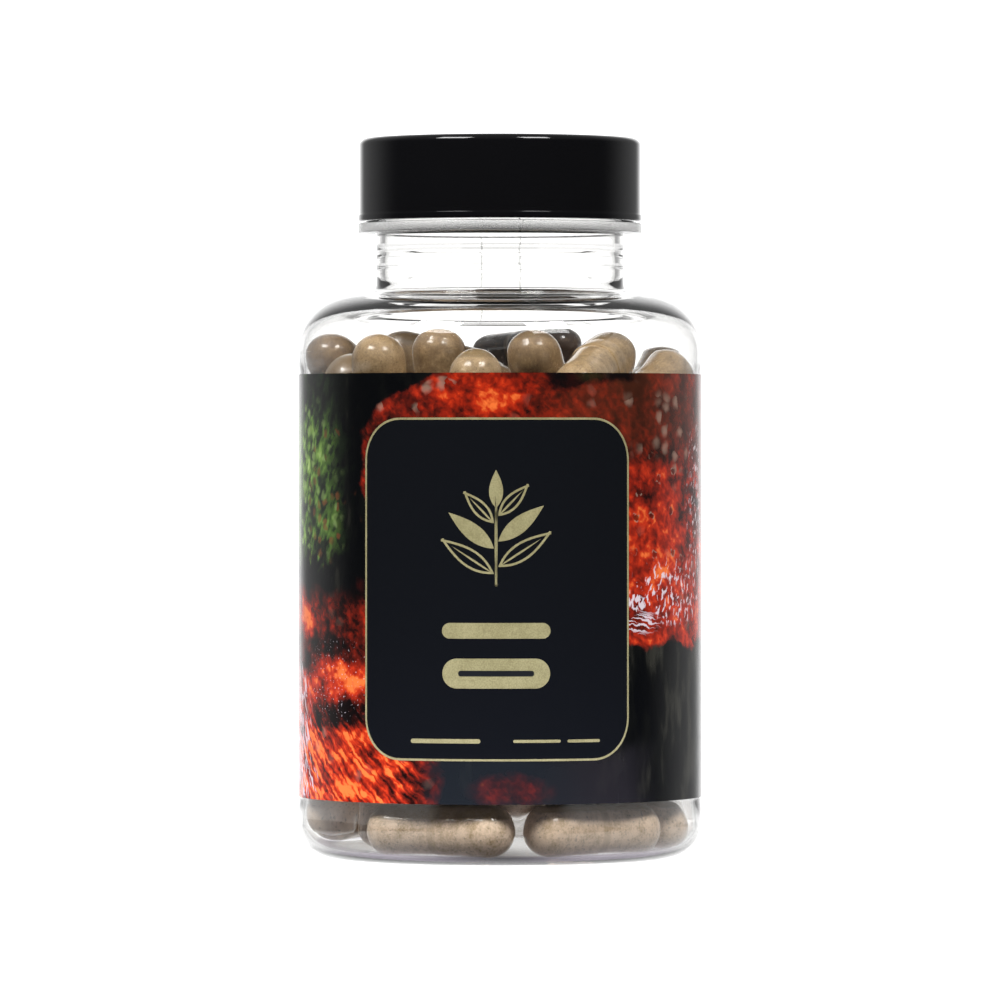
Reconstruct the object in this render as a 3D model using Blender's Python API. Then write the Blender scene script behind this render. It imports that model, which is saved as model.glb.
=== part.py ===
"""Clear bottle with a black screw cap, a wraparound label and hard capsules inside.

Millimetres are used throughout and turned into metres when a mesh is built. The bottle stands on
its base ring at z = 0, with its axis on Z and the front of its label towards -Y.
"""

import math

import bmesh
import bpy
import numpy as np
from mathutils import Vector

MM = 0.001
SIDES = 40  # facets round the bottle, the label and the cap

# Bottle, outside
BODY_RADIUS = 29.0
PANEL_RADIUS = 28.92
HEEL_ROUND = 5.0
SHOULDER_ROUND = 8.1
SHOULDER_START = 72.6
SHOULDER_FLAT = 0.2  # between the shoulder's round and the fillet's
FILLET_ROUND = 1.6
NECK_RADIUS = 17.85
FINISH_RADIUS = 17.5
BEAD_RADIUS = 20.4
BEAD_BOTTOM = 89.7
BEAD_TOP = 91.1
BEAD_EDGE = 0.3  # how far the bead's faces stop short of its radius
RIM = 100.95
RIM_EDGE = 0.4
PUSH_UP = 4.0
RING_INNER = 21.5

# Bottle, inside
BODY_WALL = 0.8
NECK_WALL = 0.9
MOUTH_RADIUS = 16.6

# Thread, one turn
PITCH = 4.233
THREAD_STEPS = 24
THREAD_RADIUS = 18.65
THREAD_START = 94.6
THREAD_ROOT = 1.9
THREAD_CREST = 0.9
THREAD_BURIED = 0.4
THREAD_END = 0.45  # share of the full height at the thread's ends
THREAD_RISE = 0.25  # and how much it gains each step from there

# Cap
CAP_RADIUS = 20.25
CAP_LIP_RADIUS = 20.4
CAP_BOTTOM = 91.4
CAP_LIP_HEIGHT = 0.9
CAP_TOP = 103.3
CAP_TOP_WALL = 1.3
CAP_BORE = 19.15
CAP_ROUND = 1.0
CAP_EDGE = 0.15  # bevel of the lip's edges
CAP_MOUTH_EDGE = 0.3  # bevel where the bore opens
CAP_THREAD_RADIUS = 17.95
CAP_THREAD_ROOT = 1.5
CAP_THREAD_CREST = 0.7
THREAD_PLAY = 0.25

# Liner
LINER_RADIUS = 18.6
LINER_GAP = 0.25

# Label
LABEL_BOTTOM = 8.8
LABEL_TOP = 69.4
LABEL_INNER = 28.97
LABEL_OUTER = 29.05
PANEL_MARGIN = 0.5

# Capsules, size 0
CAPSULE_COUNT = 118
CAPSULE_RADIUS = 3.76
CAPSULE_LENGTH = 21.7
CAPSULE_SIDES = 8
CAPSULE_GAP = 0.08
HALF = CAPSULE_LENGTH / 2 - CAPSULE_RADIUS  # from the middle to the centre of a round end
WALL_GAP = 0.12
BASE_SHOWN = 3.0  # a capsule that reaches this far below the label is made
TOP_SHOWN = 1.0  # and one that reaches within this of its top edge

# How the capsules are packed
HEAP_TOP = 74.0  # the loose capsules stay below this, on the axis
HEAP_SLOPE = 0.1  # and this much higher or lower for each millimetre towards +Y
STIFF = 0.05  # how readily a shown capsule moves, where a loose one is 1
SPREAD = 20.0  # the loose capsules start this near the axis
SPREAD_LOW = 9.0
SPREAD_HIGH = 66.0
LEANING = 0.5  # how much a loose capsule's first direction is flattened
TURN_EASE = 1.2  # how readily a push turns a capsule
CROWDING = 0.45  # how much each contact slows a capsule
SEED = 7

# Stand-in for the hidden capsules
HEAP_RADIUS = 27.6
HEAP_GAP = 0.4
HEAP_SIDES = 24

Profile = list[tuple[float, float]]


def clear_scene() -> None:
    """Removes every object of the scene."""
    for item in list(bpy.data.objects):
        bpy.data.objects.remove(item, do_unlink=True)


def finish(name: str, colour: tuple[float, float, float], roughness: float, alpha: float = 1.0):
    """Makes a non-metal Principled material."""
    material = bpy.data.materials.new(name)
    material.use_nodes = True
    shader = material.node_tree.nodes["Principled BSDF"]
    shader.inputs["Base Color"].default_value = (*colour, 1.0)
    shader.inputs["Roughness"].default_value = roughness
    shader.inputs["Metallic"].default_value = 0.0
    shader.inputs["Alpha"].default_value = alpha
    return material


def place(name: str, mesh, material) -> bpy.types.Object:
    """Puts a mesh in the scene as an object, with its own material on it."""
    item = bpy.data.objects.new(name, mesh)
    bpy.context.scene.collection.objects.link(item)
    item.material_slots[0].link = "OBJECT"
    item.material_slots[0].material = material
    return item


def mesh_from(name: str, shape: bmesh.types.BMesh):
    """Turns a closed bmesh in millimetres into a smooth-shaded mesh in metres."""
    bmesh.ops.remove_doubles(shape, verts=shape.verts, dist=1e-4)
    bmesh.ops.recalc_face_normals(shape, faces=shape.faces)
    bmesh.ops.scale(shape, vec=(MM, MM, MM), verts=shape.verts)
    mesh = bpy.data.meshes.new(name)
    shape.to_mesh(mesh)
    shape.free()
    mesh.materials.append(None)
    mesh.shade_smooth()
    mesh.set_sharp_from_angle(angle=math.radians(35))
    return mesh


def arc(centre: tuple[float, float], radius: float, start: float, end: float, steps: int) -> Profile:
    """Points along an arc of a profile, with angles in degrees from the +R direction."""
    points = []
    for step in range(steps + 1):
        angle = math.radians(start + (end - start) * step / steps)
        points.append((centre[0] + radius * math.cos(angle), centre[1] + radius * math.sin(angle)))
    return points


def turned(name: str, profile: Profile, sides: int = SIDES):
    """Spins a profile of (radius, height) points once round the Z axis.

    A profile that starts and ends on the axis gives a closed solid. Any other is a closed loop.
    """
    shape = bmesh.new()
    verts = [shape.verts.new((radius, 0.0, height)) for radius, height in profile]
    edges = [shape.edges.new(pair) for pair in zip(verts, verts[1:])]
    if profile[0][0] > 0.0:
        edges.append(shape.edges.new((verts[-1], verts[0])))
    bmesh.ops.spin(
        shape,
        geom=verts + edges,
        cent=(0.0, 0.0, 0.0),
        axis=(0.0, 0.0, 1.0),
        angle=math.tau,
        steps=sides,
        use_merge=True,
    )
    return mesh_from(name, shape)


def thread_ridge(name: str, root: float, crest: float, start: float, root_width: float, crest_width: float):
    """One turn of a thread ridge, whose ends taper towards its root radius.

    Args:
        name: the mesh's name.
        root: radius of the buried foot of the ridge.
        crest: radius of its crest, inside or outside the root.
        start: height of the ridge's middle where it starts.
        root_width: width of the foot along Z.
        crest_width: width of the crest along Z.
    """
    shape = bmesh.new()
    sections = []
    for step in range(THREAD_STEPS + 1):
        angle = math.tau * step / THREAD_STEPS
        taper = min(1.0, THREAD_END + THREAD_RISE * min(step, THREAD_STEPS - step))
        tip = root + (crest - root) * taper
        middle = start + PITCH * step / THREAD_STEPS
        section = []
        for radius, offset in (
            (root, -root_width / 2),
            (tip, -crest_width / 2),
            (tip, crest_width / 2),
            (root, root_width / 2),
        ):
            place_at = (radius * math.cos(angle), radius * math.sin(angle), middle + offset)
            section.append(shape.verts.new(place_at))
        sections.append(section)
    for one, two in zip(sections, sections[1:]):
        for corner in range(4):
            after = (corner + 1) % 4
            shape.faces.new((one[corner], one[after], two[after], two[corner]))
    shape.faces.new(sections[0])
    shape.faces.new(reversed(sections[-1]))
    return mesh_from(name, shape)


def join_ridge(body: bpy.types.Object, mesh, material) -> None:
    """Unites a body with a thread ridge, which stays in the scene as a hidden tool."""
    ridge = place(f"{body.name}_thread", mesh, material)
    ridge.hide_render = True
    ridge.display_type = "WIRE"
    union = body.modifiers.new("thread", "BOOLEAN")
    union.operation = "UNION"
    union.solver = "EXACT"
    union.object = ridge


def floor_height(radius: float, thickness: float = 0.0) -> float:
    """Height of the raised base at a radius: a smooth dome that meets the standing ring."""
    share = max(0.0, 1.0 - radius / RING_INNER)
    return thickness + PUSH_UP * share * share * (3.0 - 2.0 * share)


def bottle_profile() -> Profile:
    """The wall's outline: up the outside from the base's middle, over the rim and down the inside."""
    heel = BODY_RADIUS - HEEL_ROUND
    shoulder = BODY_RADIUS - SHOULDER_ROUND
    shoulder_top = SHOULDER_START + SHOULDER_ROUND
    fillet = NECK_RADIUS + FILLET_ROUND
    fillet_height = shoulder_top + SHOULDER_FLAT + FILLET_ROUND
    dome = (0.0, 8.0, 14.0, 18.0)
    outside = [(radius, floor_height(radius)) for radius in dome]
    outside.append((RING_INNER, 0.0))
    outside += arc((heel, HEEL_ROUND), HEEL_ROUND, -90, 0, 4)
    outside += [
        (BODY_RADIUS, LABEL_BOTTOM - 2 * PANEL_MARGIN),
        (PANEL_RADIUS, LABEL_BOTTOM - PANEL_MARGIN),
        (PANEL_RADIUS, LABEL_TOP + PANEL_MARGIN),
        (BODY_RADIUS, LABEL_TOP + 2 * PANEL_MARGIN),
    ]
    outside += arc((shoulder, SHOULDER_START), SHOULDER_ROUND, 0, 90, 5)
    outside += arc((fillet, fillet_height), FILLET_ROUND, 270, 180, 3)
    outside += [
        (NECK_RADIUS, BEAD_BOTTOM - BEAD_EDGE),
        (BEAD_RADIUS - BEAD_EDGE, BEAD_BOTTOM),
        (BEAD_RADIUS, (BEAD_BOTTOM + BEAD_TOP) / 2),
        (BEAD_RADIUS - BEAD_EDGE, BEAD_TOP),
        (FINISH_RADIUS, BEAD_TOP),
        (FINISH_RADIUS, RIM - RIM_EDGE),
        (FINISH_RADIUS - RIM_EDGE, RIM),
    ]
    inside = [(MOUTH_RADIUS, RIM), (MOUTH_RADIUS, BEAD_TOP)]
    inside += arc((fillet, fillet_height), FILLET_ROUND + NECK_WALL, 180, 270, 3)
    inside += arc((shoulder, SHOULDER_START), SHOULDER_ROUND - BODY_WALL, 90, 0, 4)
    inside += arc((heel, HEEL_ROUND), HEEL_ROUND - BODY_WALL, 0, -90, 3)
    inside += [(radius, floor_height(radius, BODY_WALL)) for radius in (RING_INNER, *reversed(dome))]
    return outside + inside


def cap_profile() -> Profile:
    """The cap's outline: out along its top, down the outside and back up the bore."""
    lip_top = CAP_BOTTOM + CAP_LIP_HEIGHT
    return [
        (0.0, CAP_TOP),
        *arc((CAP_RADIUS - CAP_ROUND, CAP_TOP - CAP_ROUND), CAP_ROUND, 90, 0, 3),
        (CAP_RADIUS, lip_top + CAP_EDGE),
        (CAP_LIP_RADIUS, lip_top),
        (CAP_LIP_RADIUS, CAP_BOTTOM + CAP_EDGE),
        (CAP_LIP_RADIUS - CAP_EDGE, CAP_BOTTOM),
        (CAP_BORE + CAP_MOUTH_EDGE, CAP_BOTTOM),
        (CAP_BORE, CAP_BOTTOM + CAP_MOUTH_EDGE),
        (CAP_BORE, CAP_TOP - CAP_TOP_WALL),
        (0.0, CAP_TOP - CAP_TOP_WALL),
    ]


def capsule_profile() -> Profile:
    """A straight tube with round ends, along Z and centred on the origin."""
    top = arc((0.0, HALF), CAPSULE_RADIUS, 90, 0, 2)
    bottom = arc((0.0, -HALF), CAPSULE_RADIUS, 0, -90, 2)
    points = top + bottom
    points[0] = (0.0, HALF + CAPSULE_RADIUS)
    points[-1] = (0.0, -HALF - CAPSULE_RADIUS)
    return points


class Heap:
    """Capsules as rods with round ends, moved apart until none of them overlap.

    Only sums, products, quotients and square roots are used, so each run gives the same heap.
    """

    def __init__(self) -> None:
        self.centres = np.zeros((0, 3))
        self.axes = np.zeros((0, 3))
        self.give = np.zeros(0)  # how readily each rod moves: 0 is held, 1 is loose

    def add(self, centre, axis) -> None:
        """Adds one loose rod by its middle and its direction."""
        axis = np.array(axis, float)
        self.centres = np.vstack([self.centres, np.array(centre, float)])
        self.axes = np.vstack([self.axes, axis / math.sqrt(float((axis * axis).sum()))])
        self.give = np.append(self.give, 1.0)

    def add_from_end(self, end, axis) -> None:
        """Adds one rod by the centre of one round end and the direction from there to the other."""
        axis = np.array(axis, float)
        axis /= math.sqrt(float((axis * axis).sum()))
        self.add(np.array(end, float) + axis * HALF, axis)

    def lid(self, y: np.ndarray) -> np.ndarray:
        """Height that each rod stays under: the shoulder for a shown one, the heap's top for a loose one."""
        shoulder = SHOULDER_START + SHOULDER_ROUND - BODY_WALL - WALL_GAP
        return np.where(self.give < 1.0, shoulder, HEAP_TOP + HEAP_SLOPE * y)

    def wall_push(self, points: np.ndarray, reach: float) -> np.ndarray:
        """How far each ball of radius reach has to move to lie inside the bottle."""
        x, y, z = points.T
        radius = np.sqrt(x * x + y * y) + 1e-9
        outward = np.zeros(len(points))
        upward = np.minimum(0.0, self.lid(y) - reach - z)
        bore = BODY_RADIUS - BODY_WALL - WALL_GAP
        side = (z >= HEEL_ROUND) & (z <= SHOULDER_START) & (radius > bore - reach)
        outward[side] = (bore - reach - radius)[side]
        for ring, height, bend in (
            (BODY_RADIUS - HEEL_ROUND, HEEL_ROUND, HEEL_ROUND),
            (BODY_RADIUS - SHOULDER_ROUND, SHOULDER_START, SHOULDER_ROUND),
        ):
            beyond = (z < height) if bend == HEEL_ROUND else (z > height)
            limit = bend - BODY_WALL - WALL_GAP - reach
            across = radius - ring
            along = z - height
            gap = np.sqrt(across * across + along * along) + 1e-9
            hit = beyond & (radius > ring) & (gap > limit)
            outward[hit] = (across * (limit - gap) / gap)[hit]
            upward[hit] = (along * (limit - gap) / gap)[hit]
        share = np.clip(1.0 - radius / RING_INNER, 0.0, 1.0)
        floor = BODY_WALL + WALL_GAP + PUSH_UP * share * share * (3.0 - 2.0 * share) + reach
        low = (radius <= BODY_RADIUS - HEEL_ROUND) & (z < floor)
        upward[low] = (floor - z)[low]
        return np.stack([x / radius * outward, y / radius * outward, upward], axis=1)

    def touching(self, reach: float):
        """Pairs of rods nearer than twice reach: their indices, places along each, push and depth."""
        one, two = np.triu_indices(len(self.centres), 1)
        apart = self.centres[one] - self.centres[two]
        near = (apart * apart).sum(axis=1) < (2.0 * (HALF + reach)) ** 2
        one, two, apart = one[near], two[near], apart[near]
        cosine = (self.axes[one] * self.axes[two]).sum(axis=1)
        on_one = (self.axes[one] * apart).sum(axis=1)
        on_two = (self.axes[two] * apart).sum(axis=1)
        spread = np.maximum(1.0 - cosine * cosine, 1e-6)
        along_one = np.clip((cosine * on_two - on_one) / spread, -HALF, HALF)
        along_two = np.clip(along_one * cosine + on_two, -HALF, HALF)
        along_one = np.clip(along_two * cosine - on_one, -HALF, HALF)
        along_two = np.clip(along_one * cosine + on_two, -HALF, HALF)
        gap = apart + self.axes[one] * along_one[:, None] - self.axes[two] * along_two[:, None]
        length = np.sqrt((gap * gap).sum(axis=1)) + 1e-9
        hit = length < 2.0 * reach
        push = gap[hit] / length[hit][:, None]
        return one[hit], two[hit], along_one[hit], along_two[hit], push, 2.0 * reach - length[hit]

    def relax(self, rounds: int, reach: float, fall: float) -> None:
        """Moves the rods apart and off the walls, and lets the loose ones sink by fall each round."""
        for _ in range(rounds):
            one, two, along_one, along_two, push, depth = self.touching(reach)
            shift = np.zeros_like(self.centres)
            turn = np.zeros_like(self.axes)
            contacts = np.zeros(len(self.centres))
            both = np.maximum(self.give[one] + self.give[two], 1e-6)
            lever = TURN_EASE / (HALF * HALF)
            for index, share, along in (
                (one, self.give[one] / both, along_one),
                (two, -self.give[two] / both, along_two),
            ):
                step = push * (depth * share)[:, None]
                np.add.at(shift, index, step)
                np.add.at(turn, index, step * (along * lever)[:, None])
                np.add.at(contacts, index, 1.0)
            for place_on in (-1.0, -0.5, 0.0, 0.5, 1.0):
                wall = 0.5 * self.wall_push(self.centres + self.axes * (place_on * HALF), reach)
                shift += wall
                turn += wall * (place_on / HALF)
            ease = 1.0 / np.maximum(1.0, contacts * CROWDING)
            shift *= ease[:, None]
            turn *= ease[:, None]
            shift[:, 2] -= fall * self.give
            held = self.give == 0.0
            shift[held] = 0.0
            turn[held] = 0.0
            self.centres += shift
            self.axes += turn
            self.axes /= np.sqrt((self.axes * self.axes).sum(axis=1))[:, None]

    def tops(self) -> np.ndarray:
        """Height of each rod's highest point."""
        return self.centres[:, 2] + np.abs(self.axes[:, 2]) * HALF + CAPSULE_RADIUS

    def bottoms(self) -> np.ndarray:
        """Height of each rod's lowest point."""
        return self.centres[:, 2] - np.abs(self.axes[:, 2]) * HALF - CAPSULE_RADIUS

    def clear(self, index: int) -> bool:
        """Says whether a rod is clear of every other."""
        one, two, *_ = self.touching(CAPSULE_RADIUS - CAPSULE_GAP / 4)
        return index not in one and index not in two


def add_front_capsules(heap: Heap) -> None:
    """The capsules that show above the label's front, by one end and their direction."""
    heap.add_from_end((-23.8, -4.0, 71.8), (0.45, 0.75, -0.48))
    heap.add_from_end((-16.3, -17.8, 70.6), (0.10, 0.35, -0.93))
    heap.add_from_end((-13.9, 2.0, 72.8), (0.93, -0.20, -0.30))
    heap.add_from_end((-8.2, -12.0, 72.6), (0.05, 0.25, -0.97))
    heap.add_from_end((-4.9, -23.5, 68.2), (0.05, 0.30, -0.95))
    heap.add_from_end((8.1, 5.0, 74.4), (-0.60, 0.79, -0.08))
    heap.add_from_end((4.4, -14.0, 72.5), (0.40, 0.45, -0.80))
    heap.add_from_end((15.6, -8.0, 72.2), (-0.32, -0.86, -0.28))
    heap.add_from_end((23.3, -6.0, 69.2), (-0.66, -0.45, -0.60))


def add_ring_capsules(heap: Heap) -> None:
    """The capsules that lie in the base's trough, by their angle from the front."""
    reach = BODY_RADIUS - BODY_WALL - WALL_GAP - CAPSULE_RADIUS - CAPSULE_GAP / 2
    distance = math.sqrt(reach * reach - HALF * HALF)
    height = BODY_WALL + WALL_GAP + CAPSULE_RADIUS + CAPSULE_GAP / 2
    for degrees in (-24.3, 30.5, 84.5, 138.5, 192.5, 246.5):
        angle = math.radians(degrees)
        centre = (distance * math.sin(angle), -distance * math.cos(angle), height)
        heap.add(centre, (math.cos(angle), math.sin(angle), 0.0))
    heap.add_from_end((-23.8, -3.5, 5.8), (0.05, 0.80, 0.60))


def add_loose_capsules(heap: Heap, count: int) -> None:
    """The other capsules, at seeded random places and directions, more lying than standing."""
    random = np.random.RandomState(SEED)
    for number in range(count):
        x, y = SPREAD, SPREAD
        while x * x + y * y > SPREAD * SPREAD:
            x, y = (SPREAD * (2.0 * value - 1.0) for value in random.random_sample(2))
        axis = np.array([2.0, 2.0, 2.0])
        while (axis * axis).sum() > 1.0:
            axis = 2.0 * random.random_sample(3) - 1.0
        axis[2] *= LEANING
        height = SPREAD_LOW + (SPREAD_HIGH - SPREAD_LOW) * number / (count - 1)
        heap.add((x, y, height), axis)


def settled_heap() -> Heap:
    """The whole heap: the shown capsules are set first and the loose ones grow round them."""
    heap = Heap()
    add_front_capsules(heap)
    add_ring_capsules(heap)
    full = CAPSULE_RADIUS + CAPSULE_GAP / 2
    shown = len(heap.centres)
    heap.give[:] = STIFF
    heap.relax(300, full, 0.0)
    heap.give[:] = 0.0
    add_loose_capsules(heap, CAPSULE_COUNT - shown)
    for share in (0.6, 0.75, 0.85, 0.92, 0.97):
        heap.relax(200, full * share, 0.002)
    heap.relax(800, full, 0.001)
    heap.give[:shown] = STIFF
    heap.relax(2000, full, 0.003)
    heap.relax(1200, full, 0.0005)
    return heap


def place_capsules(heap: Heap, material) -> list[int]:
    """Makes the capsules that show above or below the label, and says which ones they are."""
    mesh = turned("capsule", capsule_profile(), CAPSULE_SIDES)
    made = []
    tops = heap.tops()
    bottoms = heap.bottoms()
    for group, shown in (
        ("base", bottoms < LABEL_BOTTOM - BASE_SHOWN),
        ("top", tops > LABEL_TOP - TOP_SHOWN),
    ):
        number = 0
        for index in np.flatnonzero(shown):
            if not heap.clear(index):
                continue
            number += 1
            item = place(f"capsule_{group}_{number:02d}", mesh, material)
            item.location = Vector(heap.centres[index]) * MM
            item.rotation_mode = "QUATERNION"
            item.rotation_quaternion = Vector(heap.axes[index]).to_track_quat("Z", "Y")
            made.append(int(index))
    return made


def heap_profile(heap: Heap, made: list[int]) -> Profile:
    """A plain cylinder between the shown capsules of the base and those of the top."""
    tops = heap.tops()[made]
    bottoms = heap.bottoms()[made]
    middle = (LABEL_BOTTOM + LABEL_TOP) / 2
    low = float(tops[tops < middle].max()) + HEAP_GAP
    high = float(bottoms[bottoms > middle - CAPSULE_LENGTH].min()) - HEAP_GAP
    return [(0.0, high), (HEAP_RADIUS, high), (HEAP_RADIUS, low), (0.0, low)]


def main() -> None:
    """Builds every piece."""
    clear_scene()
    clear_plastic = finish("clear_plastic", (0.93, 0.95, 0.95), 0.05, 0.3)
    black_plastic = finish("black_plastic", (0.012, 0.012, 0.013), 0.2)
    foam = finish("foam", (0.85, 0.85, 0.83), 0.8)
    printed_film = finish("printed_film", (0.2, 0.05, 0.03), 0.3)
    capsule_shell = finish("capsule_shell", (0.38, 0.29, 0.18), 0.35)

    bottle = place("bottle", turned("bottle", bottle_profile()), clear_plastic)
    bottle_thread = thread_ridge(
        "bottle_thread",
        root=FINISH_RADIUS - THREAD_BURIED,
        crest=THREAD_RADIUS,
        start=THREAD_START,
        root_width=THREAD_ROOT,
        crest_width=THREAD_CREST,
    )
    join_ridge(bottle, bottle_thread, clear_plastic)

    cap = place("cap", turned("cap", cap_profile()), black_plastic)
    cap_thread = thread_ridge(
        "cap_thread",
        root=CAP_BORE + THREAD_BURIED,
        crest=CAP_THREAD_RADIUS,
        start=THREAD_START - (THREAD_ROOT + CAP_THREAD_ROOT) / 2 - THREAD_PLAY,
        root_width=CAP_THREAD_ROOT,
        crest_width=CAP_THREAD_CREST,
    )
    join_ridge(cap, cap_thread, black_plastic)

    liner_top = CAP_TOP - CAP_TOP_WALL - LINER_GAP
    liner_low = RIM + LINER_GAP
    liner = [(0.0, liner_top), (LINER_RADIUS, liner_top), (LINER_RADIUS, liner_low), (0.0, liner_low)]
    place("cap_liner", turned("cap_liner", liner), foam)

    label = [
        (LABEL_OUTER, LABEL_TOP),
        (LABEL_OUTER, LABEL_BOTTOM),
        (LABEL_INNER, LABEL_BOTTOM),
        (LABEL_INNER, LABEL_TOP),
    ]
    place("label", turned("label", label), printed_film)

    heap = settled_heap()
    made = place_capsules(heap, capsule_shell)
    profile = heap_profile(heap, made)
    place("capsule_heap", turned("capsule_heap", profile, HEAP_SIDES), capsule_shell)


main()
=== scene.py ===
"""Finished looks of a clear bottle of hard capsules with a black screw cap and a printed label.

Sizes of the pieces and the camera are in millimetres and become metres when they are made. Finishes,
lamps and the floor use metres, but the label's print uses millimetres. The bottle stands on z = 0 with
its axis on Z. A place on the label is told by its arc length from the front, to the right, and its height.
"""

import logging
import math
from contextlib import contextmanager
from dataclasses import dataclass, field
from enum import Enum
from typing import Callable, Iterator, Mapping, Sequence

import bpy
import numpy as np
from mathutils import Matrix, Vector


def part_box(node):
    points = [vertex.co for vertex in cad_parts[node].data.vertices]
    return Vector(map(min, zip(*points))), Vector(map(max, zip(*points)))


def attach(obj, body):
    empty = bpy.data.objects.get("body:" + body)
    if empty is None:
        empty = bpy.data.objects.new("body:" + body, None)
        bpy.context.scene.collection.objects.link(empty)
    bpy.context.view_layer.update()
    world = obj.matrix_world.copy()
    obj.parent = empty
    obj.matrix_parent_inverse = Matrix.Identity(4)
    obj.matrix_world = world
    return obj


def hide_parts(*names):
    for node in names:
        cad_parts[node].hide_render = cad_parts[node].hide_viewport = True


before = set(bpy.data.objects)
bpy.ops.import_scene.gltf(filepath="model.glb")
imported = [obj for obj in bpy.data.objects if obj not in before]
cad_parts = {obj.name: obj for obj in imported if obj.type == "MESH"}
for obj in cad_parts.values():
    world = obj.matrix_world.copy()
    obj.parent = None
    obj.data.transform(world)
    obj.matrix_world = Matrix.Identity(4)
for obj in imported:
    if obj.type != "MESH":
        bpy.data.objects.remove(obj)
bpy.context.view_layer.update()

MM = 0.001
TINY = 1e-6  # a length that counts as nothing
TURNS = 256  # facets round the bottle and the cap
STAGE_SIDES = 96  # facets round the studio's floor and wall
LOG = logging.getLogger("capsule_bottle")

Colour = tuple[float, float, float]
Point = tuple[float, float]
Stops = tuple[tuple[float, Colour], ...]

BLACK: Colour = (0.0, 0.0, 0.0)
WHITE: Colour = (1.0, 1.0, 1.0)


# Reading the frame


def round_node(node: str) -> tuple[float, float, float]:
    """Sizes of a CAD node that is round about the axis.

    Args:
        node: the node's name.

    Returns:
        Its radius, its lowest height and its highest, in millimetres.
    """
    low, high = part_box(node)
    return high.x / MM, low.z / MM, high.z / MM


# Shader values


def screen(red: int, green: int, blue: int) -> Colour:
    """Turns a display colour of 0 to 255 into the linear one that shaders use."""

    def linear(part: int) -> float:
        """Undoes the display's curve for one part."""
        share = part / 255
        return share / 12.92 if share <= 0.04045 else ((share + 0.055) / 1.055) ** 2.4

    return linear(red), linear(green), linear(blue)


class Value:
    """A number that changes over a surface, as a socket that Python arithmetic works on."""

    def __init__(self, tree: "Tree", socket: bpy.types.NodeSocket) -> None:
        """Wraps a socket of a tree."""
        self.tree = tree
        self.socket = socket

    def _math(self, operation: str, *others: "float | Value") -> "Value":
        """Adds a Math node on this value and the others."""
        inputs = {index: value for index, value in enumerate((self, *others))}
        node = self.tree.node("ShaderNodeMath", {"operation": operation}, inputs)
        return Value(self.tree, node.outputs[0])

    def _after(self, operation: str, first: float) -> "Value":
        """Adds a Math node on a plain number followed by this value."""
        node = self.tree.node("ShaderNodeMath", {"operation": operation}, {0: first, 1: self})
        return Value(self.tree, node.outputs[0])

    def __add__(self, other: "float | Value") -> "Value":
        """Sum."""
        return self._math("ADD", other)

    __radd__ = __add__

    def __mul__(self, other: "float | Value") -> "Value":
        """Product."""
        return self._math("MULTIPLY", other)

    __rmul__ = __mul__

    def __sub__(self, other: "float | Value") -> "Value":
        """Difference."""
        return self._math("SUBTRACT", other)

    def __rsub__(self, other: float) -> "Value":
        """Difference from a plain number."""
        return self._after("SUBTRACT", other)

    def __truediv__(self, other: "float | Value") -> "Value":
        """Quotient."""
        return self._math("DIVIDE", other)

    def size(self) -> "Value":
        """The value without its sign."""
        return self._math("ABSOLUTE")

    def most(self, other: "float | Value") -> "Value":
        """The larger of two values."""
        return self._math("MAXIMUM", other)

    def least(self, other: "float | Value") -> "Value":
        """The smaller of two values."""
        return self._math("MINIMUM", other)

    def rise(self, low: float, high: float) -> "Value":
        """A smooth step from 0 at low to 1 at high, where low may be the larger.

        Args:
            low: the value that gives 0.
            high: the value that gives 1.

        Returns:
            The step, from 0 to 1.
        """
        ends = {1: low, 2: high, 3: 0.0, 4: 1.0}
        if low > high:
            ends = {1: high, 2: low, 3: 1.0, 4: 0.0}
        node = self.tree.node("ShaderNodeMapRange", {"interpolation_type": "SMOOTHSTEP"}, {0: self, **ends})
        return Value(self.tree, node.outputs[0])


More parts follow.
